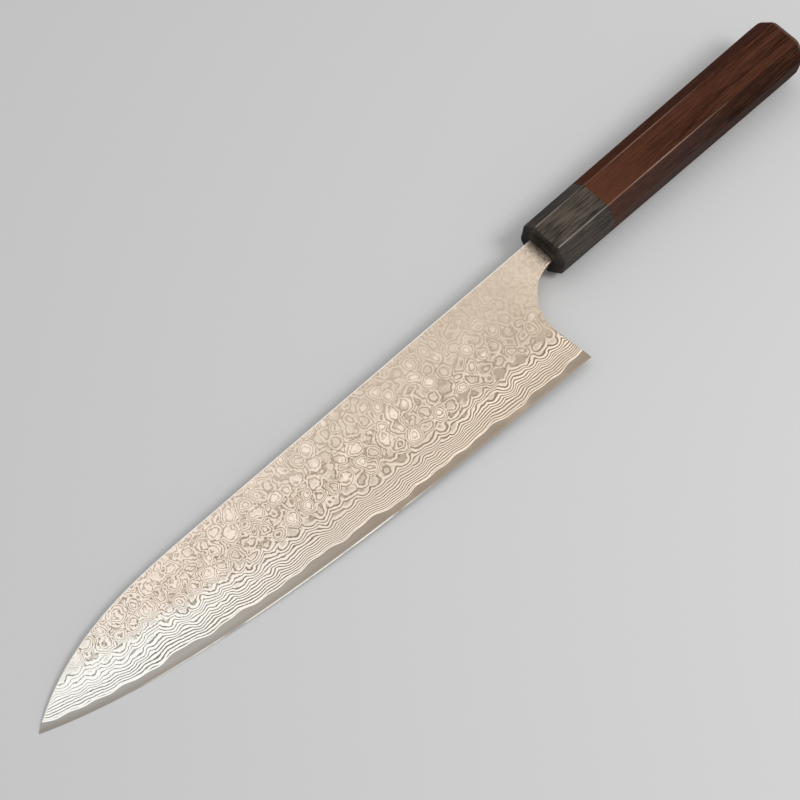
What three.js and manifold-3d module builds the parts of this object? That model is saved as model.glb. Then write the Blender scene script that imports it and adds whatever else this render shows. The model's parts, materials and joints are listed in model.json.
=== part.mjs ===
// Gyuto: a double-bevel chef's knife with a laminated blade and an octagonal stick-tang handle.
//
// The knife is drawn in its own axes and laid down at the end. In its own axes the origin is
// the middle of the ferrule's front face, +X runs to the tip, +Y runs from the spine to the
// cutting edge and +Z comes out of the blade's left face. All sizes are in millimetres.

import * as THREE from "three";
import { mergeVertices } from "three/addons/utils/BufferGeometryUtils.js";
import Module from "manifold-3d";

const wasm = await Module();
wasm.setup();

// Blade outline
const bladeLength = 237.5; // heel to tip, along the handle's axis
const bladeHeight = 50; // spine to heel
const heelReach = 18.5; // ferrule to heel
const neckHeight = 12; // where the blade enters the ferrule
const choilRadius = 20.5; // hollow between the neck and the heel
const tipDrop = 19; // how far the tip lies below the straight spine
const spineStraight = 174; // ferrule to the point where the spine starts to fall
const spineTension = 0.31; // pull of the falling spine's two handles, as a share of its run
const heelSlope = 0.045; // rise of the edge where it leaves the heel
const heelTension = 0.41; // how far that slope pulls, as a share of the blade
const tipSlope = 0.43; // rise of the edge where it reaches the tip
const tipTension = 0.21; // how far that slope pulls, as a share of the blade

// Blade section
const neckThickness = 2.8;
const heelThickness = 2.3; // at the spine, above the heel
const coreThickness = 0.7; // hard core between the two claddings
const edgeThickness = 0.24; // behind the sharpened lip
const edgeLip = 0.8; // sharpened lip along the edge
const distalTaper = 0.4; // share of the cladding lost on the way to the tip
const grindCurve = 1.25; // 1 is a flat grind, more is a rounder one

// Core steel left bare along the edge, with the wavy line where the cladding ends
const bareAtHeel = 3.45;
const bareAtTip = 3.75;
const coreWaves = [
  { length: 180, height: 0.5, start: 2.2 },
  { length: 62, height: 0.37, start: 0.2 },
  { length: 27, height: 0.37, start: -1.9 },
  { length: 19.7, height: 0.3, start: -0.1 },
  { length: 9.45, height: 0.24, start: 2.5 },
];

// Tang, hidden in the handle
const tangLength = 88; // behind the ferrule's front face
const tangHeight = 8.6; // behind its shoulders
const tangEndHeight = 5.6;
const tangEndThickness = 1.6;
const shoulderLength = 7; // from the neck's height down to the tang's

// Octagonal handle, a little larger at the butt
const handleLength = 146; // ferrule and handle body together
const ferruleLength = 29;
const frontTall = 22; // spine side to edge side
const frontWide = 18.3; // left side to right side
const frontCorner = 4.9; // leg of the octagon's cut corner
const buttTall = 24.5;
const buttWide = 20.5;
const buttCorner = 5.5;
const arrisEase = 0.35; // softened edge between two facets
const ferruleChamfer = 1.25; // around the ferrule's front face
const buttRound = 3.2; // around the butt

// Inside of the handle
const frontWall = 8; // ferrule's front wall, behind which the dowel starts
const dowelDiameter = 13;
const dowelTail = 10; // solid dowel behind the tang's slot
const dowelChamfer = 0.8;
const glueGap = 0.12; // between glued pieces
const bedding = 0.5; // least thickness of the bedding around the tang
const beddingTail = 2; // bedding behind the tang's end

// Balance point of the whole knife
const balanceAhead = 41.7; // ahead of the ferrule
const balanceDrop = 6.9; // towards the edge, from the handle's axis

// Fineness of the facets
const neckSteps = 8;
const bladeSteps = 96;
const neckRows = 3;
const faceRows = 5; // spine to core line, the neck's rows among them
const shoulderSteps = 4;
const dowelSides = 24;
const buttSteps = 4;

// Curves of the blade's outline, as points (ahead of the ferrule, below the axis)
const spineDepth = -neckHeight / 2;
const heel = new THREE.Vector2(heelReach, spineDepth + bladeHeight);
const tip = new THREE.Vector2(heelReach + bladeLength, spineDepth + tipDrop);
const spineRun = tip.x - spineStraight;
const spineFall = new THREE.CubicBezierCurve(
  new THREE.Vector2(spineStraight, spineDepth),
  new THREE.Vector2(spineStraight + spineTension * spineRun, spineDepth),
  new THREE.Vector2(tip.x - spineTension * spineRun, spineDepth),
  tip,
);
const edgeCurve = new THREE.CubicBezierCurve(
  heel,
  new THREE.Vector2(1, -heelSlope).multiplyScalar(heelTension * bladeLength).add(heel),
  new THREE.Vector2(-1, tipSlope).multiplyScalar(tipTension * bladeLength).add(tip),
  tip,
);

// The choil is an arc that leaves the neck's underside and ends where it runs straight on to the heel.
const choilCentre = new THREE.Vector2(0, neckHeight / 2 + choilRadius);
const heelFromChoil = heel.clone().sub(choilCentre);
const choilEnd = heelFromChoil.angle() - Math.acos(choilRadius / heelFromChoil.length());
const choilStart = -Math.PI / 2;

function choilPoint(share) {
  const angle = THREE.MathUtils.lerp(choilStart, choilEnd, share);
  return new THREE.Vector2(Math.cos(angle), Math.sin(angle)).multiplyScalar(choilRadius).add(choilCentre);
}

// The heel's line, carried on up to the spine
const heelTop = (() => {
  const end = choilPoint(1);
  const slant = (end.x - heel.x) / (end.y - heel.y);
  return new THREE.Vector2(heel.x + slant * (spineDepth - heel.y), spineDepth);
})();

// Depth of the spine at a distance ahead of the ferrule: straight first, then the falling curve.
function spineAt(ahead) {
  if (ahead <= spineStraight) return spineDepth;
  let low = 0;
  let high = 1;
  for (let step = 0; step < 40; step += 1) {
    const middle = (low + high) / 2;
    if (spineFall.getPoint(middle).x < ahead) low = middle;
    else high = middle;
  }
  return spineFall.getPoint(high).y;
}

// Width of bare core steel along the edge.
function bareWidth(ahead) {
  const share = (ahead - heel.x) / bladeLength;
  const wave = (total, { length, height, start }) =>
    total + height * Math.sin((2 * Math.PI * ahead) / length + start);
  return coreWaves.reduce(wave, THREE.MathUtils.lerp(bareAtHeel, bareAtTip, share));
}

// Point of the blade's grid, with the half-thickness of the core and of the whole blade there.
// A column of the grid runs from the spine down to the lower rim.
function gridPoint(place, core, outer) {
  return { place, core, outer };
}

const heelCladHeight = bladeHeight - bareWidth(heel.x);
const choilRow = choilPoint(1).distanceTo(heelTop) / (heel.distanceTo(heelTop) - bareWidth(heel.x));

// Row shares from the spine (0) to the core line (1); row number neckRows meets the choil's end.
const rowShares = Array.from({ length: faceRows + 1 }, (_, row) =>
  row <= neckRows
    ? (choilRow * row) / neckRows
    : THREE.MathUtils.lerp(choilRow, 1, (row - neckRows) / (faceRows - neckRows)),
);

// Column of the blade proper, at a share of the way from the heel to the tip.
function bladeColumn(share) {
  const edge = edgeCurve.getPoint(share);
  const ahead = edge.x + (heelTop.x - heel.x) * (1 - share);
  const top = share < 1 ? new THREE.Vector2(ahead, spineAt(ahead)) : tip;
  const height = top.distanceTo(edge);
  const bare = Math.min(bareWidth(edge.x), height);
  const core = (coreThickness / 2) * (bare / bareWidth(edge.x));
  const coreLine = edge.clone().lerp(top, height > 0 ? bare / height : 0);
  const cladShare = (1 - distalTaper * share) * Math.sqrt((height - bare) / heelCladHeight);
  const clad = ((heelThickness - coreThickness) / 2) * cladShare;
  const face = rowShares.map((row) =>
    gridPoint(top.clone().lerp(coreLine, row), core, core + clad * (1 - row ** grindCurve)),
  );
  const lip = Math.min(edgeLip, bare / 2);
  const lipPlace = edge.clone().lerp(coreLine, bare > 0 ? lip / bare : 0);
  const lipHalf = core * (edgeThickness / coreThickness);
  return [...face, gridPoint(lipPlace, lipHalf, lipHalf), gridPoint(edge, 0, 0)];
}

const heelColumn = bladeColumn(0);

// Column of the neck, whose even thickness passes into the blade's wedge.
function neckColumn(share) {
  const top = new THREE.Vector2(heelTop.x * share, spineDepth);
  const rim = choilPoint(share);
  const blend = THREE.MathUtils.smoothstep(share, 0, 1);
  return heelColumn.slice(0, neckRows + 1).map((atHeel, row) => {
    const half = THREE.MathUtils.lerp(neckThickness / 2, atHeel.outer, blend);
    return gridPoint(top.clone().lerp(rim, row / neckRows), coreThickness / 2, half);
  });
}

// Height and thickness of the tang at a distance behind the ferrule's front face.
function tangSection(behind) {
  const shoulder = THREE.MathUtils.smoothstep(behind, 0, shoulderLength);
  const along = Math.max(0, behind - shoulderLength) / (tangLength - shoulderLength);
  const drawn = THREE.MathUtils.lerp(tangHeight, tangEndHeight, along);
  return {
    tall: THREE.MathUtils.lerp(neckHeight, drawn, shoulder),
    thick: THREE.MathUtils.lerp(neckThickness, tangEndThickness, behind / tangLength),
  };
}

// Stations of the tang from its end to the ferrule's front face
const tangStations = [tangLength];
for (let step = shoulderSteps; step >= 0; step -= 1) {
  tangStations.push((shoulderLength * step) / shoulderSteps);
}

function tangColumn(behind) {
  const { tall, thick } = tangSection(behind);
  return Array.from({ length: neckRows + 1 }, (_, row) => {
    const depth = tall * (row / neckRows - 1 / 2);
    return gridPoint(new THREE.Vector2(-behind, depth), coreThickness / 2, thick / 2);
  });
}

// All columns from the tang's end to the tip; the heel's column closes the neck and starts the blade.
const columns = tangStations.map(tangColumn);
for (let step = 1; step < neckSteps; step += 1) columns.push(neckColumn(step / neckSteps));
const heelIndex = columns.length;
for (let step = 0; step <= bladeSteps; step += 1) columns.push(bladeColumn(step / bladeSteps));

// Removes the triangles that have no area, where the grid's points fall together.
function withoutSlivers(geometry) {
  const merged = mergeVertices(geometry, 1e-4);
  const index = merged.getIndex().array;
  const kept = [];
  for (let at = 0; at < index.length; at += 3) {
    const [a, b, c] = index.subarray(at, at + 3);
    if (a !== b && b !== c && c !== a) kept.push(a, b, c);
  }
  merged.setIndex(kept);
  return merged;
}

// Layer of the blade between two sheets over the grid, closed by a wall along its rim.
// bladeRows is the number of rows that the layer covers ahead of the heel.
function layer(bladeRows, upper, lower) {
  const positions = [];
  const vertex = ([column, row], sheet) => {
    const { place, core, outer } = columns[column][row];
    positions.push(place.x, place.y, sheet(core, outer));
  };
  const triangle = (...corners) => corners.forEach(([at, sheet]) => vertex(at, sheet));
  const rowsAt = (column) => (column < heelIndex ? neckRows : bladeRows);
  const inside = (column, row) =>
    column >= 0 && column < columns.length - 1 && row >= 0 && row < rowsAt(column);
  const wall = (from, to) => {
    triangle([from, upper], [from, lower], [to, lower]);
    triangle([from, upper], [to, lower], [to, upper]);
  };
  for (let column = 0; column < columns.length - 1; column += 1) {
    for (let row = 0; row < rowsAt(column); row += 1) {
      const a = [column, row];
      const b = [column + 1, row];
      const c = [column + 1, row + 1];
      const d = [column, row + 1];
      triangle([a, upper], [b, upper], [c, upper]);
      triangle([a, upper], [c, upper], [d, upper]);
      triangle([a, lower], [c, lower], [b, lower]);
      triangle([a, lower], [d, lower], [c, lower]);
      if (!inside(column, row - 1)) wall(a, b);
      if (!inside(column + 1, row)) wall(b, c);
      if (!inside(column, row + 1)) wall(c, d);
      if (!inside(column - 1, row)) wall(d, a);
    }
  }
  const geometry = new THREE.BufferGeometry();
  geometry.setAttribute("position", new THREE.Float32BufferAttribute(positions, 3));
  return withoutSlivers(geometry);
}

// Closed solid through a row of rings with equally many points, with flat ends.
function loft(rings) {
  const sides = rings[0].length;
  const positions = rings.flat(2);
  const index = [];
  for (let ring = 0; ring < rings.length - 1; ring += 1) {
    for (let side = 0; side < sides; side += 1) {
      const a = ring * sides + side;
      const b = ring * sides + ((side + 1) % sides);
      index.push(a, b, b + sides, a, b + sides, a + sides);
    }
  }
  const last = (rings.length - 1) * sides;
  for (let side = 1; side < sides - 1; side += 1) {
    index.push(0, side + 1, side);
    index.push(last, last + side, last + side + 1);
  }
  const geometry = new THREE.BufferGeometry();
  geometry.setAttribute("position", new THREE.Float32BufferAttribute(positions, 3));
  geometry.setIndex(index);
  return geometry;
}

// Height, width and corner cut of the octagonal handle at a distance behind the ferrule's front face.
function handleSection(behind) {
  const share = behind / handleLength;
  return {
    tall: THREE.MathUtils.lerp(frontTall, buttTall, share),
    wide: THREE.MathUtils.lerp(frontWide, buttWide, share),
    corner: THREE.MathUtils.lerp(frontCorner, buttCorner, share),
  };
}

// Ring of the handle there, drawn in by an inset and with its eight arrises eased.
function octagonRing(behind, inset) {
  const { tall, wide, corner } = handleSection(behind);
  const y = tall / 2 - inset;
  const z = wide / 2 - inset;
  const cut = corner - (2 - Math.SQRT2) * inset;
  const corners = [
    [y, -z + cut],
    [y, z - cut],
    [y - cut, z],
    [-y + cut, z],
    [-y, z - cut],
    [-y, -z + cut],
    [-y + cut, -z],
    [y - cut, -z],
  ].map(([across, up]) => new THREE.Vector2(across, up));
  return corners.flatMap((point, number) => {
    const before = corners.at(number - 1);
    const after = corners[(number + 1) % corners.length];
    return [before, after].map((other) => {
      const eased = other.clone().sub(point).setLength(arrisEase).add(point);
      return [-behind, eased.x, eased.y];
    });
  });
}

// Rectangular ring across the handle's axis.
function rectangleRing(behind, tall, thick) {
  const y = tall / 2;
  const z = thick / 2;
  return [
    [-behind, y, -z],
    [-behind, y, z],
    [-behind, -y, z],
    [-behind, -y, -z],
  ];
}

// Solids for joining and cutting.
function solid(geometry) {
  const bare = geometry.clone();
  bare.deleteAttribute("normal");
  bare.deleteAttribute("uv");
  const merged = mergeVertices(bare);
  return new wasm.Manifold(
    new wasm.Mesh({
      numProp: 3,
      vertProperties: new Float32Array(merged.getAttribute("position").array),
      triVerts: new Uint32Array(merged.getIndex().array),
    }),
  );
}

function geometryOf(manifold) {
  const mesh = manifold.getMesh();
  const geometry = new THREE.BufferGeometry();
  geometry.setAttribute("position", new THREE.BufferAttribute(mesh.vertProperties, 3));
  geometry.setIndex(new THREE.BufferAttribute(mesh.triVerts, 1));
  return geometry;
}

// Round bar along the axis, between two distances behind the ferrule's front face.
function roundBar(diameter, from, to) {
  const bar = new THREE.CylinderGeometry(diameter / 2, diameter / 2, to - from, dowelSides);
  bar.rotateZ(Math.PI / 2);
  bar.translate(-(from + to) / 2, 0, 0);
  return bar;
}

// Openings that take the tang: one through the ferrule's wall, a smaller one down the dowel.
const mouthTall = neckHeight + 2 * (bedding + glueGap);
const slotTall = tangSection(shoulderLength).tall + 2 * (bedding + glueGap);
const slotThick = neckThickness + 2 * (bedding + glueGap);
const slotEnd = tangLength + beddingTail + glueGap;
const overrun = 1; // a cutter's length past the face that it cuts

const dowelStart = frontWall + glueGap;
const dowelEnd = slotEnd + dowelTail;
const dowelLength = dowelEnd - dowelStart;
const boreDiameter = dowelDiameter + 2 * glueGap;
const boreEnd = dowelEnd + glueGap;

const mouth = loft([
  rectangleRing(frontWall + overrun, mouthTall, slotThick),
  rectangleRing(-overrun, mouthTall, slotThick),
]);

function makeFerrule() {
  const blank = loft([
    octagonRing(ferruleLength, 0),
    octagonRing(ferruleChamfer, 0),
    octagonRing(0, ferruleChamfer),
  ]);
  const bore = roundBar(boreDiameter, frontWall, ferruleLength + overrun);
  return geometryOf(solid(blank).subtract(solid(mouth)).subtract(solid(bore)));
}

function makeHandleBody() {
  const rings = [];
  for (let step = buttSteps; step >= 0; step -= 1) {
    const angle = ((Math.PI / 2) * step) / buttSteps;
    const behind = handleLength - buttRound * (1 - Math.sin(angle));
    rings.push(octagonRing(behind, buttRound * (1 - Math.cos(angle))));
  }
  rings.push(octagonRing(ferruleLength, 0));
  const bore = roundBar(boreDiameter, ferruleLength - overrun, boreEnd);
  return geometryOf(solid(loft(rings)).subtract(solid(bore)));
}

function makeDowel() {
  const half = dowelDiameter / 2;
  const profile = [
    new THREE.Vector2(0, 0),
    new THREE.Vector2(half - dowelChamfer, 0),
    new THREE.Vector2(half, dowelChamfer),
    new THREE.Vector2(half, dowelLength - dowelChamfer),
    new THREE.Vector2(half - dowelChamfer, dowelLength),
    new THREE.Vector2(0, dowelLength),
  ];
  const bar = new THREE.LatheGeometry(profile, dowelSides);
  bar.rotateZ(Math.PI / 2);
  bar.translate(-dowelStart, 0, 0);
  const slot = loft([
    rectangleRing(slotEnd, slotTall, slotThick),
    rectangleRing(dowelStart - overrun, slotTall, slotThick),
  ]);
  return geometryOf(solid(bar).subtract(solid(slot)));
}

// Bedding: fills the mouth and the slot around the tang, flush with the ferrule's front face.
function makeBedding() {
  const filled = (tall) => [tall - 2 * glueGap, slotThick - 2 * glueGap];
  const front = loft([
    rectangleRing(frontWall, ...filled(mouthTall)),
    rectangleRing(0, ...filled(mouthTall)),
  ]);
  const rear = loft([
    rectangleRing(tangLength + beddingTail, ...filled(slotTall)),
    rectangleRing(frontWall - overrun, ...filled(slotTall)),
  ]);
  const around = (behind) => {
    const { tall, thick } = tangSection(behind);
    return [tall + 2 * glueGap, thick + 2 * glueGap];
  };
  const hollow = loft([
    rectangleRing(tangLength + glueGap, ...around(tangLength)),
    ...tangStations.slice(1).map((behind) => rectangleRing(behind, ...around(behind))),
    rectangleRing(-overrun, ...around(0)),
  ]);
  return geometryOf(solid(front).add(solid(rear)).subtract(solid(hollow)));
}

// Pieces
function piece(name, geometry, colour, roughness, metalness) {
  const material = new THREE.MeshStandardMaterial({ color: colour, roughness, metalness });
  const mesh = new THREE.Mesh(geometry, material);
  mesh.name = name;
  return mesh;
}

const coreRows = faceRows + 2;
const inCore = (core) => core;
const onFace = (core, outer) => outer;
const mirrored = (sheet) => (core, outer) => -sheet(core, outer);

const knife = new THREE.Group();
knife.add(
  piece("core_steel", layer(coreRows, inCore, mirrored(inCore)), 0xa79c92, 0.34, 1),
  piece("left_cladding", layer(faceRows, onFace, inCore), 0xd3c5b4, 0.38, 1),
  piece("right_cladding", layer(faceRows, mirrored(inCore), mirrored(onFace)), 0xd3c5b4, 0.38, 1),
  piece("ferrule", makeFerrule(), 0x453e39, 0.4, 0),
  piece("handle_body", makeHandleBody(), 0x5a3024, 0.42, 0),
  piece("dowel", makeDowel(), 0xc9ab7c, 0.7, 0),
  piece("tang_bedding", makeBedding(), 0x2a2724, 0.45, 0),
);

// The knife lies on its right side, on the ferrule's lower front corner and on the blade. Seen from
// the knife, the table is a plane through that corner that slopes up along and across the blade.
const seat = handleSection(ferruleChamfer);
const seatCorner = new THREE.Vector3(
  -ferruleChamfer,
  seat.tall / 2 - seat.corner - arrisEase,
  -seat.wide / 2,
);
const balance = new THREE.Vector3(balanceAhead, balanceDrop, 0).sub(seatCorner);
const rightFace = columns
  .slice(heelIndex)
  .flat()
  .map(({ place, outer }) => new THREE.Vector3(place.x, place.y, -outer).sub(seatCorner));

// For each slope across, the blade leaves room for one slope along. The knife settles where
// its balance point is lowest over the table.
const slopeAlong = (across) => Math.min(...rightFace.map(({ x, y, z }) => (z - across * y) / x));
const upFromTable = (across) => new THREE.Vector3(-slopeAlong(across), -across, 1).normalize();
const balanceHeight = (across) => upFromTable(across).dot(balance);

function settledSlope() {
  let low = 0;
  let high = 1;
  for (let step = 0; step < 60; step += 1) {
    const third = (high - low) / 3;
    if (balanceHeight(low + third) > balanceHeight(high - third)) low += third;
    else high -= third;
  }
  return low;
}

const vertical = new THREE.Vector3(0, 0, 1);
const halfTurn = new THREE.Quaternion().setFromAxisAngle(vertical, Math.PI);
const tableUp = upFromTable(settledSlope());
knife.quaternion.setFromUnitVectors(tableUp, vertical).premultiply(halfTurn);

// The origin is on the table, under the middle of the knife: +X to the butt, +Y to the spine, +Z up.
const box = new THREE.Box3().setFromObject(knife, true);
const middle = box.getCenter(new THREE.Vector3());
knife.position.set(-middle.x, -middle.y, -box.min.z);

export default knife;
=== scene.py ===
# %% [markdown]
# This lesson dresses a gyuto, the tall double-bevel chef's knife of a Japanese kitchen. Its solids
# are already built and packed as a fixed frame: a core of hard steel between two layered claddings,
# a ferrule, an octagonal handle, and a dowel and some resin inside. The frame is loaded first,
# because every finer surface in this file has to lie where those solids lie. Lengths in the frame
# are metres.

import json

import bmesh
import bpy
import numpy as np
from mathutils import Matrix, Vector


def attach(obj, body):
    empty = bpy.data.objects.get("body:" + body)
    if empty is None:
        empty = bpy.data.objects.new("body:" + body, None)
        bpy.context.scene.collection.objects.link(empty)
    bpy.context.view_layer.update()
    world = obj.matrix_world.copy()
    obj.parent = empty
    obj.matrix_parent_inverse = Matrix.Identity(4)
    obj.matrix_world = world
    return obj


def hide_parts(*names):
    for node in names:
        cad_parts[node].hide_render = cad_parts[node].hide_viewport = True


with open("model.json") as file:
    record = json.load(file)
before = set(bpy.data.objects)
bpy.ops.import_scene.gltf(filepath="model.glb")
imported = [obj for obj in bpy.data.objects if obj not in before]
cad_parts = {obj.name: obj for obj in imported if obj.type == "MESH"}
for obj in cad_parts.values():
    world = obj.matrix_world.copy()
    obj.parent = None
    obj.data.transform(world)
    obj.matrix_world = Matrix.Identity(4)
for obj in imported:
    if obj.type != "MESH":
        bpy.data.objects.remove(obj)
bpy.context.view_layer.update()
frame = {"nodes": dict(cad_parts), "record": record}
print("nodes:", sorted(frame["nodes"]))

# %% [markdown]
# The knife lies on its side, tipped a little by its own weight, so its outline is awkward to draw in
# the frame's axes. It is drawn in its own axes instead, in millimetres: the origin is the middle of
# the ferrule's front face, x runs to the tip, y runs from the spine to the cutting edge and z comes
# out of the blade's left face. The frame's mounts give these axes without any fitting: the butt
# faces straight back, and the two grip facets lean by the same angle to either side.

# %% Knife axes from the mounts
MM = 0.001
HANDLE_LENGTH = 146.0

mounts = {mount["name"]: mount for mount in frame["record"]["mounts"]}


def unit(vector):
    """Vector of length 1 in the same direction."""
    return vector / np.linalg.norm(vector)


def facing(name):
    """Outward direction of a mount's face."""
    return np.array(mounts[name]["axis"])


to_tip = -unit(facing("butt_face"))
out_of_face = unit(facing("left_grip_facet") - facing("right_grip_facet"))
to_edge = np.cross(out_of_face, to_tip)
knife_axes = np.column_stack((to_tip, to_edge, out_of_face))
knife_origin = np.array(mounts["butt_face"]["pos_m"]) + to_tip * HANDLE_LENGTH * MM


def in_frame(points):
    """Knife millimetres to frame metres: turned by the knife's axes, then moved to its origin."""
    return knife_origin + (points * MM) @ knife_axes.T


print("ferrule front at", knife_origin.round(4), "blade points along", to_tip.round(3))

# %% [markdown]
# The camera looks down from high over the blade, a little towards the tip, as the photograph does. Its
# place, the point it looks at and the direction that is level in the picture are written in knife
# axes. A focal length in pixels becomes a lens in millimetres through the width of the sensor.

# %% Camera
PICTURE_SIDE = 800
FOCAL_PIXELS = 1650
CAMERA_AT = np.array((282.8, 161.4, 548.5))
CAMERA_AIM = np.array((83.4, 7.8, 0.0))
PICTURE_RIGHT = np.array((-0.7122, 0.6991, 0.0632))

forward = unit(CAMERA_AIM - CAMERA_AT)
right = unit(PICTURE_RIGHT - forward * (PICTURE_RIGHT @ forward))
camera_turn = knife_axes @ np.column_stack((right, np.cross(right, forward), -forward))

camera_data = bpy.data.cameras.new("camera")
camera_data.lens = FOCAL_PIXELS / PICTURE_SIDE * camera_data.sensor_width
camera = bpy.data.objects.new("camera", camera_data)
camera.matrix_world = Matrix.Translation(in_frame(CAMERA_AT)) @ Matrix(camera_turn.tolist()).to_4x4()
bpy.context.scene.collection.objects.link(camera)
bpy.context.scene.camera = camera
bpy.context.scene.view_settings.view_transform = "Standard"
print("lens", round(camera_data.lens, 2), "mm at", tuple(round(v, 3) for v in camera.location))

# %% [markdown]
# Shader trees are long when every sum is a node that is made by hand. Two small classes shorten
# them. Value wraps an output socket, and Python's own operators on it add Math nodes, so a stripe
# can be written as a formula. Finish, in the next code cell, holds one material.


# %% Shader maths
class Value:
    """Output socket of a node that can stand in a formula: each operator adds one Math node."""

    def __init__(self, finish, socket):
        self.finish = finish
        self.socket = socket

    def maths(self, operation, *operands):
        """One Math node with the operands on its sockets, in order."""
        return self.finish.node("ShaderNodeMath", {"operation": operation}, dict(enumerate(operands)))

    def __add__(self, other):
        return self.maths("ADD", self, other)

    def __sub__(self, other):
        return self.maths("SUBTRACT", self, other)

    def __rsub__(self, other):
        return self.maths("SUBTRACT", other, self)

    def __mul__(self, other):
        return self.maths("MULTIPLY", self, other)

    def __abs__(self):
        return self.maths("ABSOLUTE", self)

    __radd__ = __add__
    __rmul__ = __mul__

    def fraction(self):
        """What is left after the whole number is taken away."""
        return self.maths("FRACT", self)

    def ramp(self, rise, low, high):
        """Rise from 0 at low to 1 at high, held at both ends."""
        inputs = {"Value": self, "From Min": low, "From Max": high}
        return self.finish.node("ShaderNodeMapRange", {"interpolation_type": rise}, inputs)

    def step(self, low, high):
        """Smooth step: a rise in the shape of an S."""
        return self.ramp("SMOOTHSTEP", low, high)

    def between(self, low, high):
        """Straight rise."""
        return self.ramp("LINEAR", low, high)


print("values can be added, subtracted, multiplied and stepped")

# %% [markdown]
# A finish is a material with a Principled shader. Its method node adds any kind of node: the settings
# are set first, and then each socket gets a number, a colour or a link. The other methods are the few
# patterns that the finishes share. A Mix node lists its sockets for numbers, vectors and colours one
# after the other, so the colour sockets are picked by their numbers.

# %% Finish of a surface
MIX_FIRST, MIX_SECOND, MIX_RESULT = 6, 7, 2
WHITE = (1, 1, 1, 1)


class Finish:
    """Material with a Principled shader, and the patterns that the finishes share."""

    def __init__(self, name, **constants):
        self.material = bpy.data.materials.new(name)
        self.material.use_nodes = True
        self.tree = self.material.node_tree
        self.paint(**constants)

    def node(self, kind, settings, inputs, output=0):
        """Any node: its type, its settings, the values or links of its sockets, and its output."""
        node = self.tree.nodes.new(kind)
        for name, setting in settings.items():
            setattr(node, name, setting)
        for socket, value in inputs.items():
            self.feed(node.inputs[socket], value)
        return Value(self, node.outputs[output])

    def feed(self, socket, value):
        """Link a Value to a socket, or set a plain number or colour on it."""
        if isinstance(value, Value):
            self.tree.links.new(value.socket, socket)
        else:
            socket.default_value = value

    def paint(self, **inputs):
        """Feed the Principled shader's sockets; an underscore stands for a space."""
        shader = self.tree.nodes["Principled BSDF"]
        for socket, value in inputs.items():
            self.feed(shader.inputs[socket.replace("_", " ")], value)

    def mix(self, share, first, second):
        """Colour between two colours."""
        inputs = {"Factor": share, MIX_FIRST: first, MIX_SECOND: second}
        return self.node("ShaderNodeMix", {"data_type": "RGBA"}, inputs, output=MIX_RESULT)

    def mark(self, name):
        """A number that the mesh keeps on its points."""
        return self.node("ShaderNodeAttribute", {"attribute_name": name}, {}, output="Fac")

    def place(self, axis):
        """Millimetres along a knife axis: X ahead of the ferrule's front, Y from spine to edge."""
        return self.node("ShaderNodeSeparateXYZ", {}, {"Vector": self.knife_point()}, output=axis)

    def knife_point(self, stretch=(1, 1, 1)):
        """Object coordinates in knife axes and millimetres, each divided by its stretch."""
        place = self.node("ShaderNodeTexCoord", {}, {}, output="Object")
        inputs = {
            "Vector": place,
            "Location": knife_origin,
            "Rotation": Matrix(knife_axes.tolist()).to_euler(),
            "Scale": MM * np.array(stretch, float),
        }
        return self.node("ShaderNodeMapping", {"vector_type": "TEXTURE"}, inputs)

    def grain(self, stretch, detail=3, rough=0.5):
        """Noise from 0 to 1 whose blobs are about as long, in millimetres, as the stretch."""
        point = self.knife_point(stretch)
        inputs = {"Vector": point, "Scale": 1.0, "Detail": detail, "Roughness": rough}
        return self.node("ShaderNodeTexNoise", {}, inputs)

    def relief(self, height, depth):
        """Normal bent by a height from 0 to 1 that stands for a depth in millimetres."""
        inputs = {"Height": height, "Distance": depth * MM, "Strength": 1.0}
        return self.node("ShaderNodeBump", {}, inputs)


def srgb(red, green, blue):
    """Colour as a picture shows it, 0 to 255, in the linear light that shaders use."""
    shown = np.array((red, green, blue)) / 255
    linear = np.where(shown <= 0.04045, shown / 12.92, ((shown + 0.055) / 1.055) ** 2.4)
    return (*linear.tolist(), 1.0)


print("shader helpers ready; mid grey is", round(srgb(128, 128, 128)[0], 3), "in linear light")

# %% [markdown]
# The stage is a plain pale floor under an even grey sky. Far from the knife only the sky lights the
# floor, so there it turns white and takes the sky's own grey, and no horizon shows in a low view. A
# broad soft box hangs where the blade mirrors it to the camera, because metal shows what it faces and
# little else. A smaller lamp shines from over the butt; the bright line along the arrises of the handle
# is not its glint but a highlight painted into the wood's colour. Sky and lamps together light a flat
# surface at about strength 1, so that a colour renders as it is written.

# %% Floor, sky and lamps
FLOOR_SIDE = 40.0
FLOOR_COLOUR = srgb(208, 208, 208)
FLOOR_FADE = (450, 1700)
SKY_STRENGTH = 0.5
LAMPS = (
    {"name": "soft_box", "towards": (-0.2, -0.25, 0.95), "away": 1.3, "side": 1.6, "watts": 4.0},
    {"name": "key_lamp", "towards": (-0.33, 0.45, 0.83), "away": 1.0, "side": 0.35, "watts": 4.0},
)

floor_corners = FLOOR_SIDE / 2 * np.array(((-1, -1, 0), (1, -1, 0), (1, 1, 0), (-1, 1, 0)))
floor_mesh = bpy.data.meshes.new("floor")
floor_mesh.from_pydata(floor_corners, [], [(0, 1, 2, 3)])
floor = bpy.data.objects.new("floor", floor_mesh)
bpy.context.scene.collection.objects.link(floor)
pale_floor = Finish("pale_floor", Roughness=0.9)
from_knife = {0: pale_floor.knife_point()}
distance = pale_floor.node("ShaderNodeVectorMath", {"operation": "LENGTH"}, from_knife, output="Value")
pale_floor.paint(Base_Color=pale_floor.mix(distance.step(*FLOOR_FADE), FLOOR_COLOUR, WHITE))
floor_mesh.materials.append(pale_floor.material)

sky = bpy.data.worlds.new("sky")
sky.use_nodes = True
background = sky.node_tree.nodes["Background"]
background.inputs["Color"].default_value = WHITE
background.inputs["Strength"].default_value = SKY_STRENGTH
bpy.context.scene.world = sky

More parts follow.
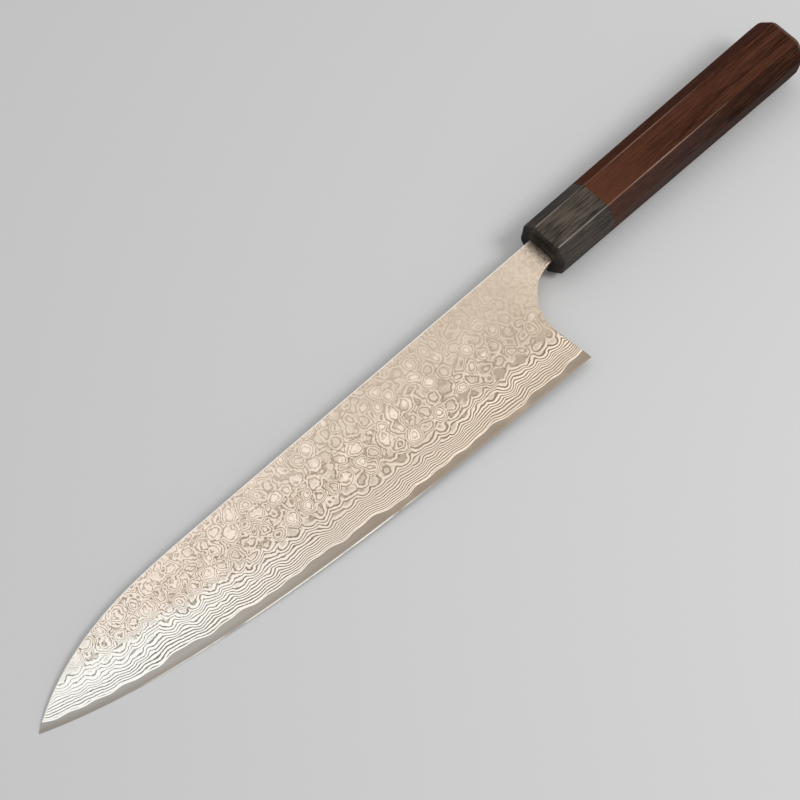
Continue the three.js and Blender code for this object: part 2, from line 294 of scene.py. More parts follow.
for lamp in LAMPS:
    light = bpy.data.lights.new(lamp["name"], "AREA")
    light.size = lamp["side"]
    light.energy = lamp["watts"]
    towards = Vector(unit(knife_axes @ np.array(lamp["towards"])))
    holder = bpy.data.objects.new(lamp["name"], light)
    holder.location = towards * lamp["away"]
    holder.rotation_euler = towards.to_track_quat("Z", "Y").to_euler()
    bpy.context.scene.collection.objects.link(holder)
print("lamps:", [lamp["name"] for lamp in LAMPS])

# %% [markdown]
# The blade's outline is five smooth lines: the straight spine, its fall to the tip, the long belly of
# the edge, a short straight heel, and the choil, the round hollow between the heel and the neck.
# The belly and the falling spine are cubic Bezier curves, because four corners are enough to say
# where such a curve starts, ends and points. The same sizes made the solids.

# %% Outline of the blade
BLADE_LENGTH = 237.5
BLADE_HEIGHT = 50.0
HEEL_REACH = 18.5
NECK_HEIGHT = 12.0
CHOIL_RADIUS = 20.5
TIP_DROP = 19.0
SPINE_STRAIGHT = 174.0
SPINE_TENSION = 0.31
HEEL_SLOPE = 0.045
HEEL_TENSION = 0.41
TIP_SLOPE = 0.43
TIP_TENSION = 0.21
CURVE_SAMPLES = 2000

SPINE_DEPTH = -NECK_HEIGHT / 2
HEEL = np.array((HEEL_REACH, SPINE_DEPTH + BLADE_HEIGHT))
TIP = np.array((HEEL_REACH + BLADE_LENGTH, SPINE_DEPTH + TIP_DROP))


def bezier(corners, share):
    """Cubic Bezier curve: four corners weighted by (1-t)^3, 3t(1-t)^2, 3t^2(1-t) and t^3."""
    t = np.asarray(share)[..., None]
    weights = ((1 - t) ** 3, 3 * t * (1 - t) ** 2, 3 * t**2 * (1 - t), t**3)
    return sum(weight * np.asarray(corner) for weight, corner in zip(weights, corners))


spine_pull = np.array((SPINE_TENSION * (TIP[0] - SPINE_STRAIGHT), 0))
fall_start = np.array((SPINE_STRAIGHT, SPINE_DEPTH))
fall_end = np.array((TIP[0], SPINE_DEPTH)) - spine_pull
SPINE_FALL = (fall_start, fall_start + spine_pull, fall_end, TIP)
heel_pull = np.array((1, -HEEL_SLOPE)) * HEEL_TENSION * BLADE_LENGTH
tip_pull = np.array((-1, TIP_SLOPE)) * TIP_TENSION * BLADE_LENGTH
EDGE_CURVE = (HEEL, HEEL + heel_pull, TIP + tip_pull, TIP)

samples = np.linspace(0, 1, CURVE_SAMPLES)
spine_samples = bezier(SPINE_FALL, samples)
edge_samples = bezier(EDGE_CURVE, samples)
edge_slopes = np.gradient(edge_samples[:, 1], edge_samples[:, 0])


def spine_depth(ahead):
    """Depth of the spine: straight first, then the falling curve, read from its samples."""
    return np.interp(ahead, spine_samples[:, 0], spine_samples[:, 1])


choil_centre = np.array((0, NECK_HEIGHT / 2 + CHOIL_RADIUS))
heel_from_choil = HEEL - choil_centre
choil_bearing = np.arctan2(heel_from_choil[1], heel_from_choil[0])
choil_end = choil_bearing - np.arccos(CHOIL_RADIUS / np.linalg.norm(heel_from_choil))


def choil_rim(share):
    """Arc from straight under the neck to the angle at which its tangent runs through the heel."""
    angle = -np.pi / 2 + (choil_end + np.pi / 2) * np.asarray(share)
    return choil_centre + CHOIL_RADIUS * np.stack((np.cos(angle), np.sin(angle)), axis=-1)


heel_line = HEEL - choil_rim(1)
heel_top = HEEL + heel_line / heel_line[1] * (SPINE_DEPTH - HEEL[1])
print("heel at", HEEL, "tip at", TIP, "choil ends at", choil_rim(1).round(1))

# %% [markdown]
# A laminated blade shows its core as a plain grey band along the edge. The line where the cladding
# ends is wavy, because the layers were never quite flat when the bevel was ground through them. It
# is a gentle slope with five sine waves on it, the same five that the solids have.

# %% Core line
BARE_AT_HEEL = 3.45
BARE_AT_TIP = 3.75
CORE_WAVES = (
    {"length": 180.0, "height": 0.5, "start": 2.2},
    {"length": 62.0, "height": 0.37, "start": 0.2},
    {"length": 27.0, "height": 0.37, "start": -1.9},
    {"length": 19.7, "height": 0.3, "start": -0.1},
    {"length": 9.45, "height": 0.24, "start": 2.5},
)


def bare_width(ahead):
    """Width of bare core steel: a straight change from heel to tip plus a sum of sine waves."""
    share = (ahead - HEEL[0]) / BLADE_LENGTH
    waves = (
        wave["height"] * np.sin(2 * np.pi * ahead / wave["length"] + wave["start"])
        for wave in CORE_WAVES
    )
    return BARE_AT_HEEL + (BARE_AT_TIP - BARE_AT_HEEL) * share + sum(waves)


def above_core(ahead, depth):
    """Height above the core line, square to the edge: distance to the edge less the bare width."""
    edge = np.interp(ahead, edge_samples[:, 0], edge_samples[:, 1])
    slope = np.interp(ahead, edge_samples[:, 0], edge_slopes)
    return (edge - depth) / np.hypot(1, slope) - bare_width(ahead)


print("bare core is", bare_width(edge_samples[:, 0]).min().round(1), "to",
      bare_width(edge_samples[:, 0]).max().round(1), "mm wide")

# %% [markdown]
# The blade's faces are grids. A column runs from the spine down to the edge, and the columns follow
# each other from the end of the tang to the tip. Two numbers belong to each grid point: half the
# thickness of the core and half the thickness of the whole blade. The grid's lines crowd along the
# rims, where the spine and the choil are rounded so that they don't bite the finger that rests there.
# Where the cladding is thinner than that rounding, a share of it stays, so that it keeps two sides.

# %% Grid of the blade
NECK_THICKNESS = 2.8
HEEL_THICKNESS = 2.3
CORE_THICKNESS = 0.7
EDGE_THICKNESS = 0.24
EDGE_LIP = 0.8
DISTAL_TAPER = 0.4
GRIND_CURVE = 1.25
TANG_LENGTH = 88.0
TANG_HEIGHT = 8.6
TANG_END_HEIGHT = 5.6
TANG_END_THICKNESS = 1.6
SHOULDER_LENGTH = 7.0
RIM_ROUND = 0.3
THIN_RIM = 0.25
NEVER_ZERO = 1e-9
NEAR_RIM = RIM_ROUND * np.array((0, 0.12, 0.3, 0.6, 1))


def smooth(share):
    """Smooth step from 0 to 1: 3t^2 - 2t^3, held at both ends."""
    t = np.clip(share, 0, 1)
    return t * t * (3 - 2 * t)


def crowded(length, count):
    """Shares along a length: a few lines inside the rim's rounding, then even steps to the end."""
    return np.concatenate((NEAR_RIM, np.linspace(RIM_ROUND, length, count + 1)[1:])) / length


def crowded_twice(length, count):
    """The same with both ends crowded."""
    half = crowded(length / 2, count // 2) / 2
    return np.concatenate((half, 1 - half[-2::-1]))


def rounded(half, from_rim):
    """Half-thickness near a rim: drawn in along a quarter circle of the rim's rounding."""
    inside = np.clip(RIM_ROUND - from_rim, 0, RIM_ROUND)
    return half - RIM_ROUND + np.sqrt(RIM_ROUND**2 - inside**2)


heel_clad = np.linalg.norm(HEEL - heel_top) - bare_width(HEEL[0])
choil_row = np.linalg.norm(choil_rim(1) - heel_top) / heel_clad


def blade_columns(share, rows):
    """Columns ahead of the heel. The top lies on the spine and the foot on the core line. The
    cladding thins from spine to core line as 1 - row^curve, towards the tip by the distal taper,
    and with the root of the height that is left."""
    edge = bezier(EDGE_CURVE, share)
    ahead = edge[:, 0] + (heel_top[0] - HEEL[0]) * (1 - share)
    top = np.column_stack((ahead, spine_depth(ahead)))
    height = np.linalg.norm(top - edge, axis=1)
    full = bare_width(edge[:, 0])
    bare = np.minimum(full, height)
    foot = edge + (top - edge) * (bare / np.maximum(height, NEVER_ZERO))[:, None]
    core = CORE_THICKNESS / 2 * bare / full
    taper = (1 - DISTAL_TAPER * share) * np.sqrt((height - bare) / (BLADE_HEIGHT - bare_width(HEEL[0])))
    clad = (HEEL_THICKNESS - CORE_THICKNESS) / 2 * taper
    flat = clad[:, None] * (1 - rows**GRIND_CURVE)
    from_spine = rows * (height - bare)[:, None]
    above_choil = np.clip(choil_row - rows, 0, 1) * heel_clad
    from_heel = np.hypot(share[:, None] * BLADE_LENGTH, above_choil)
    eased = rounded(flat, np.minimum(from_spine, from_heel))
    outer = core[:, None] + np.maximum(eased, THIN_RIM * flat)
    place = top[:, None] + (foot - top)[:, None] * rows[:, None]
    return place, np.broadcast_to(core[:, None], outer.shape), outer, height - bare


def neck_columns(share, rows):
    """Columns of the neck: an even bar that passes by a smooth step into the heel's wedge."""
    top = np.column_stack((heel_top[0] * share, np.full_like(share, SPINE_DEPTH)))
    rim = choil_rim(share)
    wedge = HEEL_THICKNESS - (HEEL_THICKNESS - CORE_THICKNESS) * (rows * choil_row) ** GRIND_CURVE
    outer = (NECK_THICKNESS + (wedge - NECK_THICKNESS) * smooth(share)[:, None]) / 2
    tall = np.linalg.norm(rim - top, axis=1)[:, None]
    place = top[:, None] + (rim - top)[:, None] * rows[:, None]
    return place, rounded(outer, tall * np.minimum(rows, 1 - rows))


def tang_columns(behind, rows):
    """Columns of the tang: shoulders by a smooth step, then a straight taper to its end."""
    along = np.clip((behind - SHOULDER_LENGTH) / (TANG_LENGTH - SHOULDER_LENGTH), 0, 1)
    drawn = TANG_HEIGHT + (TANG_END_HEIGHT - TANG_HEIGHT) * along
    tall = (NECK_HEIGHT + (drawn - NECK_HEIGHT) * smooth(behind / SHOULDER_LENGTH))[:, None]
    thick = NECK_THICKNESS + (TANG_END_THICKNESS - NECK_THICKNESS) * (behind / TANG_LENGTH)[:, None]
    place = np.stack(np.broadcast_arrays(-behind[:, None], tall * (rows - 0.5)), axis=-1)
    return place, rounded(thick / 2, tall * np.minimum(rows, 1 - rows))


print("cladding is", round(heel_clad, 1), "mm high at the heel, of which the neck takes",
      f"{choil_row:.0%}")

# %% [markdown]
# The columns are joined into one grid. The neck and the tang have only the upper rows, down to the
# row where the choil ends, so a mask says which cells of the grid exist. The cladding stops where
# its core line runs out through the falling spine, a few millimetres before the tip.

# %% Join the columns
TANG_COLUMNS = 8
SHOULDER_COLUMNS = 10
NECK_COLUMNS = 36
BLADE_COLUMNS = 470
TIP_COLUMNS = 24
NECK_LINES = 56
FOOT_LINES = 24
END_SEARCH_STEPS = 47000

even_shares = np.linspace(0, 1, END_SEARCH_STEPS)
*_, clad_left = blade_columns(even_shares, np.zeros(1))
clad_end = even_shares[np.argmax(clad_left <= 0)]

tang_behind = np.concatenate((
    np.linspace(TANG_LENGTH, SHOULDER_LENGTH, TANG_COLUMNS, endpoint=False),
    np.linspace(SHOULDER_LENGTH, 0, SHOULDER_COLUMNS),
))
neck_share = np.linspace(0, 1, NECK_COLUMNS)[1:-1]
near_heel = RIM_ROUND / BLADE_LENGTH
clad_share = np.concatenate((
    NEAR_RIM / BLADE_LENGTH, np.linspace(near_heel, clad_end, BLADE_COLUMNS)[1:],
))


def join_columns(blade_share, neck_rows, foot_rows):
    """Places, half-thicknesses and cells of the whole grid, tang first; the short columns repeat
    their last row, and the mask leaves those cells out."""
    face_rows = np.concatenate((neck_rows * choil_row, foot_rows))
    short = [tang_columns(tang_behind, neck_rows), neck_columns(neck_share, neck_rows)]
    blade_place, blade_core, blade_outer, _ = blade_columns(blade_share, face_rows)
    spare = ((0, 0), (0, len(foot_rows)))
    place = [np.pad(column, (*spare, (0, 0)), mode="edge") for column, _ in short]
    outer = [np.pad(half, spare, mode="edge") for _, half in short]
    core = [np.full_like(half, CORE_THICKNESS / 2) for half in outer]
    short_columns = len(tang_behind) + len(neck_share)
    cells = np.ones((short_columns + len(blade_share) - 1, len(face_rows) - 1), bool)
    cells[:short_columns, len(neck_rows) - 1:] = False
    return (np.concatenate((*place, blade_place)), np.concatenate((*core, blade_core)),
            np.concatenate((*outer, blade_outer)), cells)


clad_rows = crowded_twice(choil_row * heel_clad, NECK_LINES)
clad_foot = np.linspace(choil_row, 1, FOOT_LINES + 1)[1:]
clad_place, clad_core, clad_outer, clad_cells = join_columns(clad_share, clad_rows, clad_foot)
print("cladding grid", clad_outer.shape, "ends at", clad_place[-1, 0].round(1))

# %% [markdown]
# A layer of the blade is the space between two sheets over that grid. Each cell gives a quad on both
# sheets, and a cell without a neighbour gives a wall between them. Shifting the mask by one cell
# finds all the walls at once. At the core line and at the tip the sheets meet and their points fall
# together, so doubles are merged and the layer closes to a sharp edge.


# %% Layer between two sheets
MERGE_DISTANCE = 1e-7
SHARP_ANGLE = np.radians(35)


def mesh_piece(name, points, quads, marks):
    """Object from knife points and quads; each mark is a number that is kept on every point."""
    mesh = bpy.data.meshes.new(name)
    mesh.from_pydata(in_frame(points), [], quads)
    for mark, values in marks.items():
        attribute = mesh.attributes.new(mark, "FLOAT", "POINT")
        attribute.data.foreach_set("value", values.astype(np.float32))
    shell = bmesh.new()
    shell.from_mesh(mesh)
    bmesh.ops.remove_doubles(shell, verts=shell.verts, dist=MERGE_DISTANCE)
    shell.to_mesh(mesh)
    shell.free()
    mesh.shade_smooth()
    mesh.set_sharp_from_angle(angle=SHARP_ANGLE)
    piece = bpy.data.objects.new(name, mesh)
    bpy.context.scene.collection.objects.link(piece)
    return piece


def sheet_solid(name, place, upper, lower, cells, marks):
    """Quads of both sheets, and a wall quad wherever a cell has no neighbour. Each mark has one
    array for the upper sheet and one for the lower."""
    count = upper.size
    index = np.arange(count).reshape(upper.shape)
    a, b = index[:-1, :-1][cells], index[1:, :-1][cells]
    c, d = index[1:, 1:][cells], index[:-1, 1:][cells]
    around = np.pad(cells, 1)
    neighbours = (around[1:-1, :-2], around[2:, 1:-1], around[1:-1, 2:], around[:-2, 1:-1])
    quads = [np.column_stack((a, b, c, d)), np.column_stack((a, d, c, b)) + count]
    for start, end, neighbour in zip((a, b, c, d), (b, c, d, a), neighbours):
        wall = np.column_stack((start, start + count, end + count, end))
        quads.append(wall[~neighbour[cells]])
    used, quads = np.unique(np.concatenate(quads), return_inverse=True)
    points = np.concatenate([np.dstack((place, sheet)).reshape(-1, 3) for sheet in (upper, lower)])
    kept = {mark: np.ravel(sheets)[used] for mark, sheets in marks.items()}
    return mesh_piece(name, points[used], quads.reshape(-1, 4), kept)


print("points closer than", MERGE_DISTANCE, "m fall together")

# %% [markdown]
# The cladding is a stack of two steels, folded and pressed. Its layers were never quite flat, and they
# are uneven in many sizes. Value noise gives that: random numbers on a lattice with smooth steps
# between them. Each table of numbers is seeded, so every run of this file forges the same blade.

# %% Noise
TABLE_SIDE = 64


def random_table(seed, *layers):
    """Seeded numbers from -1 to 1 in a square table, for every layer that is asked for."""
    return np.random.default_rng(seed).uniform(-1, 1, (*layers, TABLE_SIDE, TABLE_SIDE))


def noise(x, y, seed):
    """Value noise: random numbers on a unit lattice, joined by smooth steps along both axes."""
    table = random_table(seed)
    column, line = np.floor(x).astype(int), np.floor(y).astype(int)
    across, down = smooth(x - column), smooth(y - line)
    here, there = column % TABLE_SIDE, (column + 1) % TABLE_SIDE
    above, below = line % TABLE_SIDE, (line + 1) % TABLE_SIDE
    upper = table[here, above] * (1 - across) + table[there, above] * across
    lower = table[here, below] * (1 - across) + table[there, below] * across
    return upper * (1 - down) + lower * down


def waves(ahead, depth, sizes, seed):
    """Sum of noises. Each has a height, a length along the blade, a size across it, a shift that moves
    it off the others' lattice, and a seed of its own."""
    total = 0
    for size in sizes:
        x, y = ahead / size["long"], depth / size["tall"] + size["shift"]
        total = total + size["height"] * noise(x, y, seed + size["seed"])
    return total


print("a noise table has", random_table(0).size, "numbers")

# %% [markdown]
# The pattern comes from one number, the layer that lies at a point of the surface. Near the core the
# bevel cuts the flat layers at a slant, and they show as long wavy lines. So the number climbs evenly
# above the core line and levels off, and noise bends it: long ripples among the lines, and rolling
# ground for the rings above them.

# %% Flat layers
LINES_PER_MM = 1.0
LEVEL_OFF_HEEL, LEVEL_OFF_TIP = 11.5, 14.5
LEVEL_OFF_POWER = 4
RINGS_FROM, RINGS_RISE = 9.0, 7.0
RIPPLE_AT_CORE, RIPPLE_RISE, RIPPLE_LOST = 0.45, 10.0, 0.6
FINE_ROLL_HEEL, FINE_ROLL_TIP = 0.35, 0.85
SPREADS = ({"height": 0.36, "long": 19.0, "tall": 40.0, "shift": 0, "seed": 3},)
RIPPLES = (
    {"height": 0.75, "long": 10.0, "tall": 12.0, "shift": 0, "seed": 4},
    {"height": 0.5, "long": 4.2, "tall": 8.0, "shift": 5, "seed": 1},
    {"height": 0.3, "long": 2.2, "tall": 6.0, "shift": 9, "seed": 2},
)
ROLLS = (
    {"height": 1.3, "long": 9.0, "tall": 8.0, "shift": 0, "seed": 5},
    {"height": 0.7, "long": 4.0, "tall": 4.0, "shift": 0, "seed": 6},
)
FINE_ROLLS = ({"height": 1.0, "long": 1.6, "tall": 1.6, "shift": 0, "seed": 7},)


def flat_layers(ahead, depth, seed):
    """Layers before the pits: h / (1 + (h/l)^4)^(1/4) of the height above the core line, which climbs
    straight and levels off at l, plus ripples near the core line, which pass by a smooth step into
    the rolling ground of the rings."""
    height = np.maximum(above_core(ahead, depth), 0)
    tipwards = np.clip((ahead - HEEL[0]) / BLADE_LENGTH, 0, 1)
    level_off = LEVEL_OFF_HEEL + (LEVEL_OFF_TIP - LEVEL_OFF_HEEL) * tipwards
    spread = height / (1 + waves(ahead, depth, SPREADS, seed))
    bend = (1 + (spread / level_off) ** LEVEL_OFF_POWER) ** (1 / LEVEL_OFF_POWER)
    climb = LINES_PER_MM * spread / bend
    ring_ground = smooth((height - RINGS_FROM) / RINGS_RISE)
    near_core = RIPPLE_AT_CORE + (1 - RIPPLE_AT_CORE) * smooth(height / RIPPLE_RISE)
    ripple = waves(ahead, depth, RIPPLES, seed) * near_core * (1 - RIPPLE_LOST * ring_ground)
    fine = FINE_ROLL_HEEL + (FINE_ROLL_TIP - FINE_ROLL_HEEL) * tipwards
    roll = waves(ahead, depth, ROLLS, seed) + fine * waves(ahead, depth, FINE_ROLLS, seed)
    return climb + ripple + roll * ring_ground


print("layers level off", LEVEL_OFF_HEEL, "to", LEVEL_OFF_TIP, "mm above the core line")

# %% [markdown]
# Before the last pass under the hammer the smith drills shallow pits into the steel and flattens it
# again, so that every pit shows the layers as rings, like rain on a pond. A pit is a bump on the layer
# number. Towards the tip and low on the blade a pit cuts more layers and shows more rings. Near the
# heel the hammer left a few spots level, where one dark layer fills a whole patch.

# %% Pits and level spots
PIT_PITCH = 6.4
PIT_ROW = 5.3
PIT_RADIUS = 3.6
PIT_CURVE = 1.9
PIT_FOOT, PIT_RISE = 13.5, 3.0
PIT_RINGS_HEEL, PIT_RINGS_TIP = 1.3, 2.6
LOW_PIT_RINGS, LOW_PIT_TOP, LOW_PIT_FADE = 1.3, 22.0, 8.0
LINE_BUMP, LINE_BUMP_GROWTH, LINE_BUMP_FROM, LINE_BUMP_RISE = 0.3, 0.9, 1.0, 8.0
PIT_JITTER = {"ahead": 1.2, "depth": 1.0, "radius": 0.8, "rings": 0.9, "deep": 0.5}
CRINKLES = (
    {"height": 0.5, "long": 3.5, "tall": 3.5, "shift": 0, "seed": 0},
    {"height": 0.28, "long": 1.3, "tall": 1.3, "shift": 0, "seed": 10},
)
JITTER_SEED, AHEAD_SEED, DEPTH_SEED = 11, 21, 22
LEVEL_SPOTS = (
    {"ahead": 26.5, "depth": 25.0, "long": 4.5, "tall": 3.0},
    {"ahead": 39.0, "depth": 26.5, "long": 6.0, "tall": 4.5},
    {"ahead": 49.5, "depth": 26.0, "long": 4.5, "tall": 5.0},
    {"ahead": 65.0, "depth": 22.5, "long": 6.0, "tall": 2.5},
)
SPOT_RIM, SPOT_SHARE, TO_DARK_LAYER = 0.6, 0.9, 1.5


def press_level(ahead, depth, layer, seed):
    """Layers with a few spots pressed level: inside a diamond, where |along| / length plus |down| /
    height is below 1, they pass by a smooth step almost into one dark layer."""
    for spot in LEVEL_SPOTS:
        off = abs(ahead - spot["ahead"]) / spot["long"] + abs(depth - spot["depth"]) / spot["tall"]
        dark_layer = np.floor(flat_layers(spot["ahead"], spot["depth"], seed)) + TO_DARK_LAYER
        layer = layer + SPOT_SHARE * (dark_layer - layer) * smooth((1 - off) / SPOT_RIM)
    return layer


def forged_layers(ahead, depth, seed):
    """Flat layers plus the highest bump of the nine nearest pits, and how deep in a pit each point
    lies. Pits stand in staggered rows with some jitter, and a crinkle bends the place of each point,
    so that no ring is round. A bump falls off as 1 - (distance / radius)^curve, and high on the blade
    its middle is lifted to a whole layer, so that every ring closes around a bright spot."""
    bent_ahead = ahead + waves(ahead, depth, CRINKLES, seed + AHEAD_SEED)
    bent_depth = depth + waves(ahead, depth, CRINKLES, seed + DEPTH_SEED)
    step = np.arange(-1, 2).reshape(-1, 1, 1)
    row = (np.round(bent_depth / PIT_ROW).astype(int) + step)[:, None]
    shift = 0.5 * (row % 2)
    pit = np.round(bent_ahead / PIT_PITCH - shift).astype(int) + step
    jitter = random_table(seed + JITTER_SEED, 4)[:, pit % TABLE_SIDE, row % TABLE_SIDE]
    pit_ahead = (pit + shift) * PIT_PITCH + PIT_JITTER["ahead"] * jitter[0]
    pit_depth = row * PIT_ROW + PIT_JITTER["depth"] * jitter[1]
    radius = PIT_RADIUS + PIT_JITTER["radius"] * jitter[2]
    from_pit = np.hypot(bent_ahead - pit_ahead, bent_depth - pit_depth) / radius
    inside = 1 - np.clip(from_pit, 0, 1) ** PIT_CURVE
    pit_height = above_core(pit_ahead, pit_depth)
    under = flat_layers(pit_ahead, pit_depth, seed)
    rings = np.interp(pit_ahead, (HEEL[0], TIP[0]), (PIT_RINGS_HEEL, PIT_RINGS_TIP))
    rings = rings + LOW_PIT_RINGS * smooth((LOW_PIT_TOP - pit_height) / LOW_PIT_FADE)
    to_whole = np.ceil(under + rings + PIT_JITTER["rings"] * jitter[3]) - under
    low = LINE_BUMP + LINE_BUMP_GROWTH * smooth((pit_height - LINE_BUMP_FROM) / LINE_BUMP_RISE)
    whole = smooth((pit_height - PIT_FOOT) / PIT_RISE)
    bump = low + (to_whole - low) * whole
    deep = inside * whole * (1 + PIT_JITTER["deep"] * jitter[3])
    layer = flat_layers(ahead, depth, seed) + (bump * inside).max(axis=(0, 1))
    return press_level(bent_ahead, bent_depth, layer, seed), deep.max(axis=(0, 1))


print("pits stand", PIT_PITCH, "mm apart in rows of", PIT_ROW, "mm")

# %% [markdown]
# Each cladding keeps its layer number on the points of its mesh, with what its finish also needs to
# know: how steeply the layers lie, how deep in a pit a point is, and how far it is from the core line
# and from the spine. The right face is forged from other seeds, because no two faces come out alike.

# %% Claddings
LAYERS_PER_MM = 8.0
STEEP_PROBE = 0.2
LEFT_SEED, RIGHT_SEED = 0, 100

clad_ahead, clad_depth = clad_place[..., 0], clad_place[..., 1]
clad_height = above_core(clad_ahead, clad_depth)
below_spine = clad_depth - spine_depth(clad_ahead)


def forging_marks(seed):
    """Layer, its steepness in layers per millimetre, depth in a pit, height above the core line and
    depth below the spine, each for the face and for the inside; only the layer differs there, because
    it also climbs through the thickness."""
    layer, pit = forged_layers(clad_ahead, clad_depth, seed)
    inside = layer + LAYERS_PER_MM * (clad_outer - clad_core)
    further, _ = forged_layers(clad_ahead + STEEP_PROBE, clad_depth, seed)
    lower, _ = forged_layers(clad_ahead, clad_depth + STEEP_PROBE, seed)
    steep = np.hypot(further - layer, lower - layer) / STEEP_PROBE
    alike = {"steep": steep, "pit": pit, "height": clad_height, "below_spine": below_spine}
    return {"layer": (layer, inside)} | {mark: (values, values) for mark, values in alike.items()}


left_marks = forging_marks(LEFT_SEED)
right_marks = {mark: (inside, face) for mark, (face, inside) in forging_marks(RIGHT_SEED).items()}
left_cladding = sheet_solid(
    "left_cladding_forged", clad_place, clad_outer, clad_core, clad_cells, left_marks,
)
right_cladding = sheet_solid(
    "right_cladding_forged", clad_place, -clad_core, -clad_outer, clad_cells, right_marks,
)
print("each cladding has", len(left_cladding.data.polygons), "faces")

# %% [markdown]
# The core is the same layer idea with few rows, because it is flat under the claddings. Below the
# core line it thins to the sharpened lip and then to nothing. Its mark is the distance from the edge,
# so that its finish can draw the lip.

# %% Core steel
BARE_ROWS = np.array((0.2, 0.4, 0.6, 0.8, 1.0))

core_share = np.concatenate((clad_share, np.linspace(clad_end, 1, TIP_COLUMNS)[1:]))
core_place, core_half, _, core_cells = join_columns(core_share, np.array((0.0, 1.0)), np.ones(1))
edge_line = bezier(EDGE_CURVE, core_share)
core_line = core_place[-len(core_share):, -1]
bare = np.linalg.norm(core_line - edge_line, axis=1)
lip_start = 1 - np.minimum(EDGE_LIP, bare / 2) / np.maximum(bare, NEVER_ZERO)
from_line = np.column_stack((lip_start[:, None] * BARE_ROWS, np.ones_like(bare)))
bare_place = core_line[:, None] + (edge_line - core_line)[:, None] * from_line[..., None]
thinned = np.append(1 - (1 - EDGE_THICKNESS / CORE_THICKNESS) * BARE_ROWS, 0)
bare_half = core_half[-len(core_share):, -1:] * thinned

spare_columns = len(core_place) - len(core_share)
spare = ((spare_columns, 0), (0, 0))
core_place = np.concatenate((core_place, np.pad(bare_place, (*spare, (0, 0)))), axis=1)
core_half = np.concatenate((core_half, np.pad(bare_half, spare)), axis=1)
core_cells = np.pad(core_cells, ((0, 0), (0, len(thinned))), constant_values=True)
core_cells[:spare_columns, 1:] = False
from_edge = np.interp(core_place[..., 0], edge_samples[:, 0], edge_samples[:, 1]) - core_place[..., 1]
core_marks = {"from_edge": (from_edge, from_edge)}
core_steel = sheet_solid("core_steel_ground", core_place, core_half, -core_half, core_cells, core_marks)
print("core has", len(core_steel.data.polygons), "faces")

# %% [markdown]
# Ferrule and handle are one long octagon that grows a little towards the butt. An octagon's ring is
# made from its eight facets: each is a line at some distance from the axis, and two neighbours meet
# at an arris. Moving all lines in by a radius and adding an arc at each corner gives the softly
# sanded arris; the thin bright line along it is a highlight painted into the wood's colour further
# down. Over the last stretch before the butt the arrises grow rounder, because the end of a handle is
# sanded most. A few extra points along each facet, close to its ends, keep the facet flat to the eye.

# %% Rings of the octagon
FRONT_TALL, BUTT_TALL = 22.0, 24.5
FRONT_WIDE, BUTT_WIDE = 18.3, 20.5
FRONT_CORNER, BUTT_CORNER = 4.9, 5.5
FACETS = np.arange(8)
EIGHTH_TURN = np.pi / 4
ARRIS_EASE = 0.35
ARRIS_RADIUS = ARRIS_EASE / np.tan(EIGHTH_TURN / 2)
BUTT_SOFTENING, SOFT_STRETCH = 2.6, 10.0
ARC_POINTS = 5
FACET_SHARES = np.array((0.03, 0.2, 0.4, 0.6, 0.8, 0.97))
RING_POINTS = len(FACETS) * (ARC_POINTS + len(FACET_SHARES))


def around_facets(arcs):
    """Ring points in order: each corner's arc, then the facet's points on the way to the next arc."""
    start, end = arcs[:, :, -1:], np.roll(arcs[:, :, :1], -1, axis=1)
    facets = start + (end - start) * FACET_SHARES[:, None]
    return np.concatenate((arcs, facets), axis=2).reshape(len(arcs), -1, 2)


def set_back(rings, behind):
    """Flat rings as knife points, each at its distance behind the ferrule's front face."""
    back = np.broadcast_to(-behind[:, None, None], (*rings.shape[:2], 1))
    return np.concatenate((back, rings), axis=2)


def arris_radius(behind):
    """Radius of the arrises: even along the handle, and growing by a smooth step over the last
    stretch before the butt."""
    return ARRIS_RADIUS + BUTT_SOFTENING * smooth(1 - (HANDLE_LENGTH - behind) / SOFT_STRETCH)


def octagon_rings(behind, inset):
    """Two facet lines at distances p and q from the axis, 45 degrees apart, meet at p along the first
    normal and (q - p cos 45) / sin 45 along the first facet; an arc rounds that corner."""
    share = behind / HANDLE_LENGTH
    tall = FRONT_TALL + (BUTT_TALL - FRONT_TALL) * share
    wide = FRONT_WIDE + (BUTT_WIDE - FRONT_WIDE) * share
    corner = FRONT_CORNER + (BUTT_CORNER - FRONT_CORNER) * share
    slant = (tall / 2 + wide / 2 - corner) * np.sqrt(0.5)
    radius = arris_radius(behind)
    reach = np.stack((tall / 2, slant, wide / 2, slant) * 2, axis=1) - (inset + radius)[:, None]
    along = np.roll(reach, -1, axis=1) * np.sqrt(2) - reach
    bearing = FACETS * EIGHTH_TURN
    normal = np.column_stack((np.cos(bearing), np.sin(bearing)))
    facet = np.column_stack((-np.sin(bearing), np.cos(bearing)))
    corners = reach[..., None] * normal + along[..., None] * facet
    turn = bearing[:, None] + np.linspace(0, EIGHTH_TURN, ARC_POINTS)
    arc = np.stack((np.cos(turn), np.sin(turn)), axis=-1)
    arcs = corners[:, :, None] + radius[:, None, None, None] * arc
    return set_back(around_facets(arcs), behind)


print("arris radius", round(ARRIS_RADIUS, 2), "mm,", RING_POINTS, "points in a ring")
